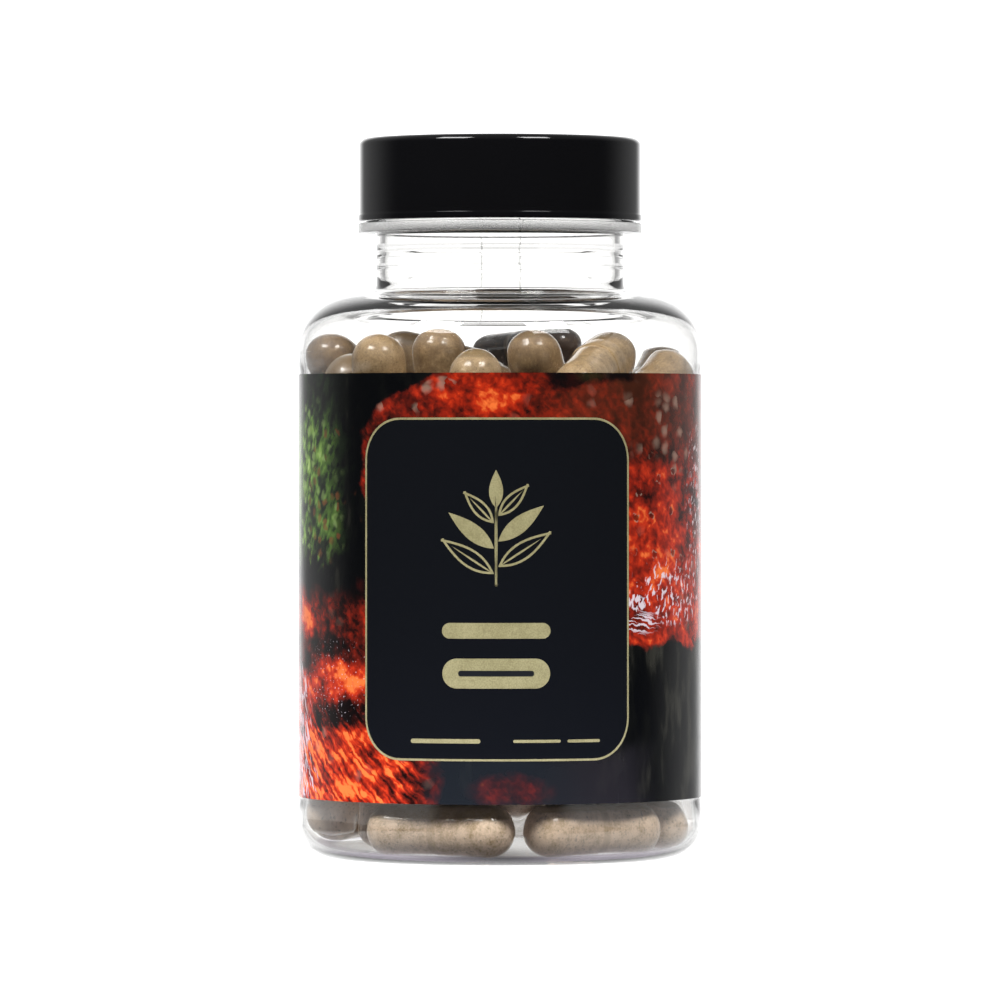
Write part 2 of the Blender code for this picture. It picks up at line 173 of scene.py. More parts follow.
class Tree:
    """The node tree of one material or world, with a shader at its end."""

    def __init__(self, name: str, world: bool = False) -> None:
        """Makes a material of that name, or a world."""
        self.owner = (bpy.data.worlds if world else bpy.data.materials).new(name)
        self.owner.use_nodes = True
        self.nodes = self.owner.node_tree.nodes
        self.links = self.owner.node_tree.links

    def node(
        self,
        kind: str,
        settings: Mapping[str, object] | None = None,
        inputs: Mapping[int | str, object] | None = None,
    ) -> bpy.types.Node:
        """Adds a node.

        Args:
            kind: the node's type.
            settings: its properties, with the stops of a ramp as (place, colour) pairs.
            inputs: values, sockets or nodes' outputs for its sockets.

        Returns:
            The node.
        """
        made = self.nodes.new(kind)
        for key, value in (settings or {}).items():
            if key == "stops":
                ramp = made.color_ramp.elements
                while len(ramp) < len(value):
                    ramp.new(1.0)
                for element, (place, colour) in zip(ramp, value):
                    element.position = place
                    element.color = (*colour, 1.0)
            else:
                setattr(made, key, value)
        for key, value in (inputs or {}).items():
            self.feed(made.inputs[key], value)
        return made

    def feed(self, socket: bpy.types.NodeSocket, value: object) -> None:
        """Sets a socket to a number or colour, or links a value to it."""
        if isinstance(value, Value):
            self.links.new(value.socket, socket)
        elif isinstance(value, bpy.types.NodeSocket):
            self.links.new(value, socket)
        elif isinstance(value, tuple) and socket.type == "RGBA":
            socket.default_value = (*value, 1.0)
        else:
            socket.default_value = value

    def finish(self, inputs: Mapping[str, object], shader: str = "Principled BSDF") -> bpy.types.ID:
        """Feeds the shader at the tree's end, and returns the material or the world."""
        for key, value in inputs.items():
            self.feed(self.nodes[shader].inputs[key], value)
        return self.owner

    def place(self) -> bpy.types.NodeSocket:
        """Object coordinates, in metres."""
        return self.node("ShaderNodeTexCoord").outputs["Object"]

    def attribute(self, name: str, output: str = "Vector") -> bpy.types.NodeSocket:
        """A mesh attribute, as a vector unless another output is named."""
        return self.node("ShaderNodeAttribute", {"attribute_name": name}).outputs[output]

    def number(self, name: str) -> Value:
        """A mesh attribute that holds a number."""
        return Value(self, self.attribute(name, "Fac"))

    def vector(self, operation: str, *inputs: object) -> bpy.types.NodeSocket:
        """Vector arithmetic that gives a vector."""
        node = self.node("ShaderNodeVectorMath", {"operation": operation}, dict(enumerate(inputs)))
        return node.outputs[0]

    def scalar(self, operation: str, *inputs: object) -> Value:
        """Vector arithmetic that gives a number, such as a length."""
        node = self.node("ShaderNodeVectorMath", {"operation": operation}, dict(enumerate(inputs)))
        return Value(self, node.outputs["Value"])

    def split(self, vector: object) -> list[Value]:
        """The three parts of a vector or a colour."""
        node = self.node("ShaderNodeSeparateXYZ", {}, {0: vector})
        return [Value(self, part) for part in node.outputs]

    def noise(self, place: object, scale: float, detail: float = 2.0, flat: bool = False) -> bpy.types.Node:
        """Noise at a place.

        Args:
            place: the coordinates to read.
            scale: features per unit of those coordinates.
            detail: octaves.
            flat: whether only the first two coordinates count.

        Returns:
            The noise node.
        """
        settings = {"noise_dimensions": "2D" if flat else "3D"}
        return self.node("ShaderNodeTexNoise", settings, {"Vector": place, "Scale": scale, "Detail": detail})

    def grain(self, place: object, scale: float, detail: float = 2.0, flat: bool = False) -> Value:
        """Noise as one number from about 0.2 to 0.8."""
        return Value(self, self.noise(place, scale, detail, flat).outputs[0])

    def drawn(
        self, place: object, degrees: float, size: tuple[float, ...], detail: float = 2.0, flat: bool = True
    ) -> Value:
        """Noise whose features are drawn out along turned axes.

        Args:
            place: the coordinates to read.
            degrees: turn of the axes about the third one, against the clock.
            size: length of a feature on each axis, or on the first two.
            detail: octaves.
            flat: whether only the first two coordinates count.

        Returns:
            One number from about 0.2 to 0.8.
        """
        inputs = {"Vector": place, "Rotation": (0.0, 0.0, math.radians(degrees)), "Scale": (*size, 1.0)[:3]}
        turned = self.node("ShaderNodeMapping", {"vector_type": "TEXTURE"}, inputs).outputs[0]
        return self.grain(turned, 1.0, detail, flat)

    def cells(self, place: object, scale: float) -> tuple[Value, list[Value]]:
        """Flat cells: the distance from the nearest middle, and three numbers that each cell draws."""
        settings = {"voronoi_dimensions": "2D"}
        node = self.node("ShaderNodeTexVoronoi", settings, {"Vector": place, "Scale": scale})
        return Value(self, node.outputs["Distance"]), self.split(node.outputs["Color"])

    def mix(self, share: "float | Value", first: object, second: object) -> bpy.types.NodeSocket:
        """A colour between two."""
        node = self.node("ShaderNodeMix", {"data_type": "RGBA"}, {0: share, 6: first, 7: second})
        return node.outputs[2]

    def ramp(self, share: Value, stops: Stops) -> bpy.types.NodeSocket:
        """A colour picked from a ramp."""
        return self.node("ShaderNodeValToRGB", {"stops": stops}, {0: share}).outputs[0]

    def bump(self, height: Value, distance: float, strength: float = 1.0) -> bpy.types.NodeSocket:
        """A normal from a height that is 0 to 1, for a depth in metres."""
        inputs = {"Height": height, "Distance": distance, "Strength": strength}
        return self.node("ShaderNodeBump", {}, inputs).outputs[0]


# Finishes


@dataclass(frozen=True)
class ClearPlastic:
    """Blow-moulded PET: see-through, with a faint unevenness of its walls and a painted shade low on its
    heel.
    """

    ior: float = 1.58
    roughness: float = 0.008
    waves: float = 45.0
    wave_depth: float = 0.00006
    tint: Colour = (0.99, 0.988, 0.98)
    frost: float = 0.24
    frosted: Point = (0.0895, 0.0913)
    frost_edge: float = 0.0002
    seam_azimuth: float = 9.3
    seam_edge: Point = (0.000144, 0.000054)
    seam_start: Point = (0.0795, 0.0800)
    seam_gaps: tuple[float, float, float] = (0.001, 0.001, 0.0006)
    seam_worn: Point = (0.40, 0.56)
    seam_shade: Colour = (0.35, 0.35, 0.34)
    # Painted shade: low on the heel the clear tint turns grey-lilac, for the dark band that the curved heel
    # shows.
    heel_heights: Point = (0.0017, 0.0008)
    heel_radii: Point = (0.0225, 0.0250)
    heel_shade: Colour = (0.36, 0.32, 0.39)

    def material(self) -> bpy.types.Material:
        """The clear plastic's material."""
        tree = Tree("clear_pet")
        place = tree.place()
        sway = tree.grain(place, self.waves, 1.0)
        height = tree.split(place)[2]
        low, high = self.frosted
        frosted = height.rise(low, low + self.frost_edge) * height.rise(high, high - self.frost_edge)
        turn = math.radians(self.seam_azimuth)
        across = tree.scalar("DOT_PRODUCT", place, (math.cos(turn), math.sin(turn), 0.0))
        worn = tree.drawn(place, 0.0, self.seam_gaps, 1.0, flat=False).rise(*self.seam_worn)
        seam = across.size().rise(*self.seam_edge) * worn * height.rise(*self.seam_start)
        radius = tree.scalar("LENGTH", tree.vector("MULTIPLY", place, (1.0, 1.0, 0.0)))
        # Painted shade: a darker grey-lilac tint low on the heel, standing in for the dark band that it
        # refracts.
        painted_heel_band = height.rise(*self.heel_heights) * radius.rise(*self.heel_radii)
        clear = tree.mix(painted_heel_band, self.tint, self.heel_shade)
        return tree.finish(
            {
                "Base Color": tree.mix(seam, clear, self.seam_shade),
                "Roughness": self.roughness + self.frost * frosted,
                "IOR": self.ior,
                "Transmission Weight": 1.0,
                "Normal": tree.bump(sway, self.wave_depth),
            }
        )


@dataclass(frozen=True)
class BlackPlastic:
    """Moulded glossy black polypropylene with a faint ripple and fine handling marks."""

    colour: Colour = (0.0034, 0.0034, 0.0040)
    lighter: float = 1.25
    ior: float = 1.38
    gloss: float = 0.05
    haze: float = 0.05
    scuff: float = 0.10
    marks: tuple[float, float, float] = (0.006, 0.0004, 0.001)
    marks_lean: float = 35.0
    ripples: float = 260.0
    ripple_depth: float = 0.000012

    def material(self) -> bpy.types.Material:
        """The black plastic's material."""
        tree = Tree("black_polypropylene")
        place = tree.place()
        ripple = tree.grain(place, self.ripples, 1.0)
        marks = tree.drawn(place, self.marks_lean, self.marks, 2.0, flat=False).rise(0.60, 0.78)
        haze = tree.grain(place, 90.0, 3.0)
        return tree.finish(
            {
                "Base Color": tree.mix(haze, self.colour, tuple(self.lighter * part for part in self.colour)),
                "Roughness": self.gloss + self.haze * haze + self.scuff * marks,
                "IOR": self.ior,
                "Normal": tree.bump(ripple, self.ripple_depth),
            }
        )


@dataclass(frozen=True)
class Foam:
    """White closed-cell foam of the cap's liner."""

    colour: Colour = screen(232, 232, 226)
    darker: float = 0.82
    roughness: float = 0.85
    cells: float = 2600.0
    cell_depth: float = 0.00008

    def material(self) -> bpy.types.Material:
        """The foam's material."""
        tree = Tree("liner_foam")
        cells = tree.node("ShaderNodeTexVoronoi", {}, {"Vector": tree.place(), "Scale": self.cells})
        depth = Value(tree, cells.outputs["Distance"])
        return tree.finish(
            {
                "Base Color": tree.mix(depth, self.colour, tuple(self.darker * part for part in self.colour)),
                "Roughness": self.roughness,
                "Normal": tree.bump(depth, self.cell_depth),
            }
        )


@dataclass(frozen=True)
class GoldInk:
    """Flat pale gold printing ink with a fine metallic grain, printed over by a dark bar."""

    dull: Colour = screen(152, 144, 101)
    bright: Colour = screen(186, 178, 132)
    dark: Colour = screen(20, 22, 26)
    roughness: float = 0.36
    metallic: float = 0.25
    flakes: float = 5200.0
    flake_depth: float = 0.000008
    clouds: float = 500.0
    bar_middle: Point = (-0.55, 27.2)
    bar_half: Point = (5.0, 0.05)
    bar_reach: float = 0.36

    def material(self) -> bpy.types.Material:
        """The gold ink's material."""
        tree = Tree("gold_ink")
        place = tree.place()
        flakes = tree.grain(place, self.flakes, 2.0)
        cloud = tree.grain(place, self.clouds, 2.0)
        gold = tree.mix((0.65 * flakes + 0.35 * cloud).rise(0.3, 0.7), self.dull, self.bright)
        sheet = tree.attribute("sheet_place")
        bar = rounded(tree, sheet, self.bar_middle, self.bar_half, self.bar_reach)
        return tree.finish(
            {
                "Base Color": tree.mix(bar, gold, self.dark),
                "Roughness": self.roughness + 0.12 * cloud,
                "Metallic": self.metallic - self.metallic * bar,
                "Normal": tree.bump(flakes, self.flake_depth),
            }
        )


@dataclass(frozen=True)
class CapsuleShell:
    """A clear hard shell over tan powder, with an emptier stretch where the powder has settled."""

    powder: Stops = (
        (0.0, screen(60, 40, 24)),
        (0.42, screen(126, 101, 68)),
        (0.72, screen(172, 144, 103)),
        (1.0, screen(240, 214, 184)),
    )
    empty_dark: Colour = screen(58, 40, 22)
    empty_light: Colour = screen(120, 98, 62)
    grains: float = 3200.0
    grain_depth: float = 0.00002
    clods: float = 620.0
    specks: float = 2300.0
    dull: float = 0.62
    shell_gloss: float = 0.06
    shell_ior: float = 1.5
    sheen: float = 0.10
    sheen_tint: Colour = (1.0, 0.92, 0.74)

    def material(self) -> bpy.types.Material:
        """The filled shell's material."""
        tree = Tree("filled_capsule")
        place = tree.place()
        # The tone attribute also holds painted light: darker powder for capsules further back, paler for
        # those at the base.
        tone = tree.number("tone")
        empty = tree.number("empty")
        along = tree.number("along")
        grains = tree.grain(place, self.grains, 4.0)
        clods = tree.grain(place, self.clods, 3.0)
        specks = tree.grain(place, self.specks, 1.0).rise(0.63, 0.72)
        powder = tree.ramp(0.40 * grains + 0.60 * clods + 0.60 * tone - 0.42, self.powder)
        dusty = tree.mix(0.35 * specks, powder, self.powder[0][1])
        hollow = tree.mix(tone.least(1.0), self.empty_dark, self.empty_light)
        ragged = (empty + 0.9 * clods - 0.45).rise(0.25, 0.75)
        filled = tree.mix(0.75 * ragged, dusty, hollow)
        lap = (along - 0.03).rise(0.035, 0.0) * (along + 0.03).rise(-0.06, -0.02)
        return tree.finish(
            {
                "Base Color": tree.mix(0.35 * lap, filled, self.powder[2][1]),
                "Roughness": self.dull - 0.2 * ragged,
                "Coat Weight": 1.0,
                "Coat Roughness": self.shell_gloss,
                "Coat IOR": self.shell_ior,
                "Sheen Weight": self.sheen,
                "Sheen Roughness": 0.25,
                "Sheen Tint": self.sheen_tint,
                "Normal": tree.bump(grains, self.grain_depth, 0.4),
            }
        )


@dataclass(frozen=True)
class Patch:
    """A soft oval on the label's picture, by its middle and its reach along the arc and in height."""

    along: float
    height: float
    wide: float
    tall: float
    strength: float = 1.0
    soft: float = 0.6

    def mask(self, tree: Tree, place: object) -> Value:
        """Strength of the patch at a place. It fades over the soft share of its reach, to both sides."""
        offset = tree.vector("SUBTRACT", place, (self.along, self.height, 0.0))
        scaled = tree.vector("DIVIDE", offset, (self.wide, self.tall, 1.0))
        return self.strength * tree.scalar("LENGTH", scaled).rise(1.0 + self.soft, 1.0 - self.soft)


def strongest(tree: Tree, place: object, patches: Sequence[Patch]) -> Value:
    """Strength of the strongest of some patches at a place."""
    found, *others = [patch.mask(tree, place) for patch in patches]
    for other in others:
        found = found.most(other)
    return found


@dataclass(frozen=True)
class Sheet:
    """Places on the label in one tree: as they are, stirred a little, and swayed far with their parts."""

    tree: Tree
    place: object
    stirred: object
    swayed: object
    along: Value
    height: Value


@dataclass(frozen=True)
class PrintedFilm:
    """The label's print: blurred moss, wet red fungus and dark ground round plain black panels."""

    panel_middles: tuple[float, ...] = (-0.55, 91.1)
    panel_height: float = 39.0
    panel_half: Point = (20.15, 24.1)
    panel_round: float = 6.0
    panel_ink: Colour = screen(15, 17, 21)
    gloss: float = 0.18
    haze: float = 0.06
    ior: float = 1.45
    varnish: float = 0.06
    varnish_gloss: float = 0.08
    film_depth: float = 0.00002
    sways: tuple[Point, ...] = ((0.11, 4.0), (0.42, 1.6), (1.4, 0.5))
    stirs: tuple[Point, ...] = ((0.5, 0.9), (1.6, 0.35))
    ground_inks: Stops = ((0.40, screen(5, 6, 8)), (0.58, screen(12, 13, 12)), (0.80, screen(46, 45, 38)))
    strip_inks: tuple[Colour, Colour] = (screen(27, 31, 35), screen(34, 32, 35))
    red_inks: Stops = (
        (0.0, screen(14, 6, 6)),
        (0.20, screen(42, 11, 8)),
        (0.40, screen(92, 22, 12)),
        (0.60, screen(144, 32, 14)),
        (0.80, screen(196, 50, 20)),
        (1.0, screen(238, 116, 52)),
    )
    moss_inks: Stops = (
        (0.0, screen(7, 11, 7)),
        (0.30, screen(28, 42, 20)),
        (0.55, screen(70, 98, 38)),
        (0.80, screen(118, 152, 66)),
        (1.0, screen(170, 196, 116)),
    )
    dew_ink: Colour = screen(168, 196, 116)
    brown_ink: Colour = screen(84, 40, 22)
    rust_ink: Colour = screen(116, 66, 36)
    pit_ink: Colour = screen(48, 17, 11)
    spot_ink: Colour = screen(158, 130, 112)
    wet_ink: Colour = screen(226, 214, 216)
    shoulder: Patch = Patch(-9.0, 56.0, 12.3, 12.3, 1.0, 0.05)
    stray: Patch = Patch(1.4, 10.6, 4.2, 1.7, 0.26, 0.7)
    leaf: Patch = Patch(13.2, 69.2, 1.8, 1.0, 0.6, 0.7)
    pits: Patch = Patch(31.0, 50.0, 13.0, 8.0, 1.0, 0.3)
    ripple: Patch = Patch(22.0, 34.2, 3.6, 1.5, 1.0, 0.4)
    drops: Patch = Patch(-27.0, 26.0, 8.0, 5.0, 0.8, 0.4)
    spotted: tuple[Patch, ...] = (
        Patch(28.5, 60.5, 7.5, 5.6, 0.46),
        Patch(15.0, 66.5, 8.0, 2.6, 0.24, 0.4),
        Patch(-8.5, 67.2, 3.0, 1.6, 0.50, 0.3),
        Patch(-16.0, 65.8, 4.0, 2.4, 0.22, 0.4),
        Patch(-24.5, 26.0, 4.0, 2.4, 0.26, 0.4),
    )
    dabbed: tuple[Patch, ...] = (
        Patch(30.0, 38.3, 10.0, 4.6, 0.135, 0.5),
        Patch(21.2, 37.0, 1.9, 1.2, 0.30, 0.4),
        Patch(38.0, 50.0, 5.0, 14.0, 0.10),
    )
    streaked: tuple[Patch, ...] = (
        Patch(-40.0, 17.0, 5.5, 11.0, 0.17, 0.5),
        Patch(-36.0, 11.0, 5.0, 3.0, 0.10, 0.5),
    )
    sunlit: tuple[Patch, ...] = (
        Patch(-41.0, 57.0, 12.0, 8.0, 0.36, 0.8),
        Patch(-28.0, 47.5, 2.6, 3.6, 0.34, 0.8),
        Patch(-41.0, 46.0, 10.0, 4.0, 0.26, 0.7),
    )
    glow: tuple[Patch, ...] = (
        Patch(-1.0, 66.3, 5.5, 1.9, 0.26),
        Patch(-9.0, 67.0, 5.0, 2.4, 0.08),
        Patch(24.0, 45.0, 9.0, 10.0, 0.20),
        Patch(33.0, 40.0, 10.0, 7.0, 0.10),
        Patch(-25.0, 26.4, 5.5, 2.6, 0.42),
        Patch(-36.0, 24.0, 5.0, 3.0, 0.16),
        Patch(-23.0, 13.0, 12.0, 6.2, 0.28),
        Patch(-38.0, 14.0, 6.0, 6.5, 0.20),
        Patch(-36.5, 34.5, 2.4, 3.2, 0.36),
        Patch(52.0, 30.0, 14.0, 16.0, 0.15),
        Patch(-56.0, 22.0, 10.0, 14.0, 0.20),
    )
    gloom: tuple[Patch, ...] = (
        Patch(-17.0, 62.0, 5.0, 5.0, 0.12),
        Patch(-25.5, 21.0, 6.0, 1.7, 0.55),
        Patch(-31.0, 30.4, 11.0, 2.4, 0.32),
        Patch(-25.0, 37.0, 6.0, 4.6, 0.22),
        Patch(27.0, 62.5, 12.0, 5.5, 0.12),
        Patch(23.5, 52.6, 3.0, 2.0, 0.16),
        Patch(20.5, 68.2, 2.6, 2.6, 0.62),
        Patch(34.0, 53.0, 2.5, 8.0, 0.12),
        Patch(-12.0, 12.0, 3.0, 4.0, 0.22),
    )

    def material(self) -> bpy.types.Material:
        """The printed film's material."""
        tree = Tree("printed_label")
        place = tree.attribute("sheet_place")
        swayed = self._moved(tree, place, self.sways)
        along, height, _ = tree.split(swayed)
        sheet = Sheet(tree, place, self._moved(tree, place, self.stirs), swayed, along, height)
        picture = self._fungus(sheet, self._ground(sheet))
        picture = self._panels(sheet, self._moss(sheet, picture))
        film = tree.grain(place, 0.5, 2.0, flat=True)
        return tree.finish(
            {
                "Base Color": picture,
                "Roughness": self.gloss + self.haze * film,
                "IOR": self.ior,
                "Coat Weight": self.varnish,
                "Coat Roughness": self.varnish_gloss,
                "Normal": tree.bump(film, self.film_depth, 0.5),
            }
        )

    def _moved(self, tree: Tree, place: object, moves: Sequence[Point]) -> object:
        """The place moved about by noises of given scale and reach, so that edges look grown."""
        moved = place
        for scale, reach in moves:
            noise = tree.noise(place, scale, 1.0, flat=True).outputs["Color"]
            centred = tree.vector("SUBTRACT", noise, (0.5, 0.5, 0.5))
            moved = tree.vector("ADD", moved, tree.vector("MULTIPLY", centred, (reach, reach, 0.0)))
        return moved

    def _ground(self, sheet: Sheet) -> object:
        """Near-black ground, with an olive haze and a slate strip below the front panel."""
        tree, along, height = sheet.tree, sheet.along, sheet.height
        haze = tree.drawn(sheet.place, 90.0, (9.0, 2.6), 3.0)
        lighter = 0.10 * along.rise(20.0, 34.0)
        darker = 0.12 * along.rise(18.0, 10.0) * height.rise(30.0, 36.0)
        ground = tree.ramp(haze + lighter - darker, self.ground_inks)
        strip = tree.mix(along.rise(2.0, 16.0), *self.strip_inks)
        under = height.rise(19.0, 14.0) * along.rise(-14.0, -9.0) * along.rise(27.0, 18.0)
        return tree.mix(0.85 * under, ground, strip)

    def _fungus(self, sheet: Sheet, under: object) -> object:
        """Red fungus: a cap over the panel, its flank on the right and a lower cap on the left."""
        tree, along, height = sheet.tree, sheet.along, sheet.height
        flank = along.rise(-10.0, -8.0) * height.rise(30.4, 31.4)
        lower = height.rise(40.0, 36.0) * along.rise(-8.5, -12.5)
        body = strongest(tree, sheet.swayed, (self.shoulder, self.stray)).most(flank).most(lower)
        fine = tree.grain(sheet.stirred, 0.95, 2.0, flat=True)
        broad = tree.grain(sheet.place, 0.30, 2.0, flat=True)
        strokes = tree.drawn(sheet.stirred, -42.0, (5.5, 0.75))
        combed = height.rise(24.0, 18.0) * along.rise(-8.0, -14.0)
        tone = 0.49 + 0.62 * (fine - 0.5) + 0.95 * (broad - 0.5) + (0.35 + 1.25 * combed) * (strokes - 0.5)
        for light in self.glow:
            tone = tone + light.mask(tree, sheet.swayed)
        for dark in self.gloom:
            tone = tone - dark.mask(tree, sheet.swayed)
        browned = along.rise(3.0, 13.0) * height.rise(54.0, 63.0)
        red = tree.ramp(tone, self.red_inks)
        red = tree.mix(0.70 * browned * (0.6 + 0.8 * (broad - 0.3)), red, self.brown_ink)
        red = tree.mix(self._wet(sheet), self._spots(sheet, red), self.wet_ink)
        rim = height.rise(67.2, 68.4) * along.rise(5.5, 8.0) * along.rise(23.0, 20.0)
        leafy = tree.mix(self.leaf.mask(tree, sheet.place), self.ground_inks[0][1], self.moss_inks[1][1])
        return tree.mix(0.92 * rim, tree.mix(body, under, red), leafy)

    def _spots(self, sheet: Sheet, red: object) -> object:
        """Blurred pale spots on the brown part, and small ringed pits on the flank."""
        tree = sheet.tree
        reach, (pick, *_) = tree.cells(sheet.stirred, 0.50)
        many = strongest(tree, sheet.place, self.spotted)
        spots = reach.rise(0.60, 0.08) * (pick + many).rise(0.88, 1.10)
        red = tree.mix(0.62 * spots, red, self.spot_ink)
        centre, (_, choice, _) = tree.cells(sheet.stirred, 0.36)
        flank = self.pits.mask(tree, sheet.place) * choice.rise(0.50, 0.60)
        ring = centre.rise(0.27, 0.21) * centre.rise(0.13, 0.18)
        glint = tree.grain(sheet.place, 1.5, 1.0, flat=True).rise(0.46, 0.58)
        red = tree.mix(0.75 * flank * centre.rise(0.24, 0.12), red, self.pit_ink)
        return tree.mix(0.70 * flank * ring * glint, red, self.spot_ink)

    def _wet(self, sheet: Sheet) -> Value:
        """White glints of wet varnish, in dabs on the right flank and in streaks at the far left."""
        tree = sheet.tree
        right = strongest(tree, sheet.place, self.dabbed)
        dabs = tree.drawn(sheet.stirred, 80.0, (1.3, 0.55))
        glints = (dabs + right).rise(0.70, 0.78) * right.rise(0.02, 0.12)
        lines = tree.drawn(sheet.stirred, -8.0, (4.0, 0.32), 1.0)
        bars = self.ripple.mask(tree, sheet.place) * lines.rise(0.56, 0.62)
        left = strongest(tree, sheet.place, self.streaked)
        streaks = tree.drawn(sheet.stirred, -68.0, (3.2, 0.45))
        shine = (streaks + left).rise(0.66, 0.74) * left.rise(0.02, 0.12)
        flecks = tree.grain(sheet.place, 2.6, 1.0, flat=True) + 0.03
        drops = flecks.rise(0.74, 0.82) * self.drops.mask(tree, sheet.place)
        return (0.85 * glints).most(0.8 * bars).most(0.75 * shine).most(0.7 * drops)

    def _moss(self, sheet: Sheet, under: object) -> object:
        """Blurred green moss at the left, with a few rusty tips."""
        tree, along, height = sheet.tree, sheet.along, sheet.height
        lumps = tree.drawn(sheet.place, 70.0, (3.0, 2.0), 1.0)
        leaves = tree.drawn(sheet.stirred, 62.0, (1.7, 0.9), 1.0)
        reach, (pick, *_) = tree.cells(sheet.stirred, 0.60)
        bright = strongest(tree, sheet.place, self.sunlit)
        tone = 0.95 * (lumps - 0.5) + 0.75 * (leaves - 0.5) + bright + 0.24 - 0.22 * height.rise(61.0, 66.0)
        green = tree.ramp(tone, self.moss_inks)
        dots = reach.rise(0.50, 0.14) * pick.rise(0.50, 0.75) * (bright + 0.1).rise(0.12, 0.36)
        green = tree.mix(0.36 * dots, green, self.dew_ink)
        rusty = along.rise(-40.0, -30.0) * height.rise(64.0, 60.0)
        rust = reach.rise(0.44, 0.20) * pick.rise(0.30, 0.18) * rusty
        green = tree.mix(0.60 * rust, green, self.rust_ink)
        edge = (along + 9.0 * (lumps - 0.5) + 5.0 * (leaves - 0.5)).rise(-23.5, -29.5)
        low = (height + 5.0 * (leaves - 0.5)).rise(42.0, 45.5)
        return tree.mix(edge * low, under, green)

    def _panels(self, sheet: Sheet, under: object) -> object:
        """Plain black panels with round corners, one at the front and one at the back."""
        half = (self.panel_half[0] - self.panel_round, self.panel_half[1] - self.panel_round)
        for middle in self.panel_middles:
            inside = rounded(sheet.tree, sheet.place, (middle, self.panel_height), half, self.panel_round)
            under = sheet.tree.mix(inside, under, self.panel_ink)
        return under


def rounded(tree: Tree, place: object, middle: Point, half: Point, reach: float, blur: float = 0.03) -> Value:
    """Mask of a round-cornered rectangle on the label's sheet.

    Args:
        tree: the material's tree.
        place: the place on the sheet.
        middle: the rectangle's middle.
        half: half of the width and height between the corners' centres.
        reach: the corners' radius.
        blur: half the width of the edge's fade.

    Returns:
        1 inside and 0 outside.
    """
    size = tree.vector("ABSOLUTE", tree.vector("SUBTRACT", place, (*middle, 0.0)))
    outside = tree.vector("MAXIMUM", tree.vector("SUBTRACT", size, (*half, 0.0)))
    return tree.scalar("LENGTH", outside).rise(reach + blur, reach - blur)


# Modelling


class Axis(Enum):
    """A direction across which a mesh is cut, or about which an outline is spun."""

    X = (1.0, 0.0, 0.0)
    Z = (0.0, 0.0, 1.0)


def alone(item: bpy.types.Object) -> None:
    """Makes one object the only selected one, and the active one."""
    bpy.ops.object.select_all(action="DESELECT")
    item.select_set(True)
    bpy.context.view_layer.objects.active = item


@contextmanager
def editing(item: bpy.types.Object) -> Iterator[None]:
    """Edit mode on one object, with its whole mesh selected."""
    alone(item)
    bpy.ops.object.mode_set(mode="EDIT")
    bpy.ops.mesh.select_all(action="SELECT")
    yield
    bpy.ops.object.mode_set(mode="OBJECT")


def named(name: str) -> bpy.types.Object:
    """Names the active object and its mesh, and returns it."""
    item = bpy.context.object
    item.name = name
    item.data.name = name
    return item


def arc(middle: Point, radius: float, start: float, end: float, steps: int) -> list[Point]:
    """Points of an arc.

    Args:
        middle: its centre, as radius and height.
        radius: its radius.
        start: the angle of its first point, in degrees from the outward direction.
        end: the angle of its last point.
        steps: how many lengths it has.

    Returns:
        The points, from start to end.
    """
    angles = [math.radians(start + (end - start) * step / steps) for step in range(steps + 1)]
    return [(middle[0] + radius * math.cos(angle), middle[1] + radius * math.sin(angle)) for angle in angles]


def curve(points: Sequence[Point], steps: int) -> list[Point]:
    """A smooth curve through points.

    Args:
        points: the points that it passes.
        steps: lengths between two of them.

    Returns:
        Its points, the given ones among them.
    """
    held = np.array([points[0], *points, points[-1]])
    made = [points[0]]
    for before, start, end, after in zip(held, held[1:], held[2:], held[3:]):
        for step in range(1, steps + 1):
            share = step / steps
            bend = 2 * before - 5 * start + 4 * end - after + share * (3 * (start - end) + after - before)
            place = start + 0.5 * share * (end - before + share * bend)
            made.append(tuple(place.tolist()))
    return made


def rows(radius: float, low: float, high: float, step: float) -> list[Point]:
    """Evenly spaced points up or down a straight wall, both ends included."""
    count = max(1, round(abs(high - low) / step))
    return [(radius, low + (high - low) * index / count) for index in range(count + 1)]


def lathe(name: str, outline: Sequence[Point], turns: int = TURNS) -> bpy.types.Object:
    """Draws an outline point by point and spins it round the Z axis.

    Args:
        name: the object's name.
        outline: points of radius and height, a loop or a line from axis to axis.
        turns: steps of the spin.

    Returns:
        The closed object.
    """
    bpy.ops.object.select_all(action="DESELECT")
    bpy.ops.mesh.primitive_plane_add(size=MM)
    item = named(name)
    loop = list(outline)
    if outline[0][0] > 0.0:
        loop.append(outline[0])
    with editing(item):
        bpy.ops.mesh.merge(type="CENTER")
        bpy.ops.transform.translate(value=(loop[0][0] * MM, 0.0, loop[0][1] * MM))
        for before, after in zip(loop, loop[1:]):
            step = ((after[0] - before[0]) * MM, 0.0, (after[1] - before[1]) * MM)
            bpy.ops.mesh.extrude_region_move(TRANSFORM_OT_translate={"value": step})
        bpy.ops.mesh.select_all(action="SELECT")
        bpy.ops.mesh.spin(steps=turns, angle=math.tau, center=(0.0, 0.0, 0.0), axis=Axis.Z.value)
        bpy.ops.mesh.select_all(action="SELECT")
        bpy.ops.mesh.remove_doubles(threshold=TINY)
        bpy.ops.mesh.normals_make_consistent(inside=False)
    return item


def smooth(item: bpy.types.Object, degrees: float = 35.0) -> None:
    """Shades an object smooth, with sharp edges past an angle."""
    alone(item)
    bpy.ops.object.shade_smooth_by_angle(angle=math.radians(degrees))


def corners(mesh: bpy.types.Mesh) -> np.ndarray:
    """Places of a mesh's vertices, in millimetres."""
    places = np.empty(len(mesh.vertices) * 3)
    mesh.vertices.foreach_get("co", places)
    return places.reshape(-1, 3) / MM


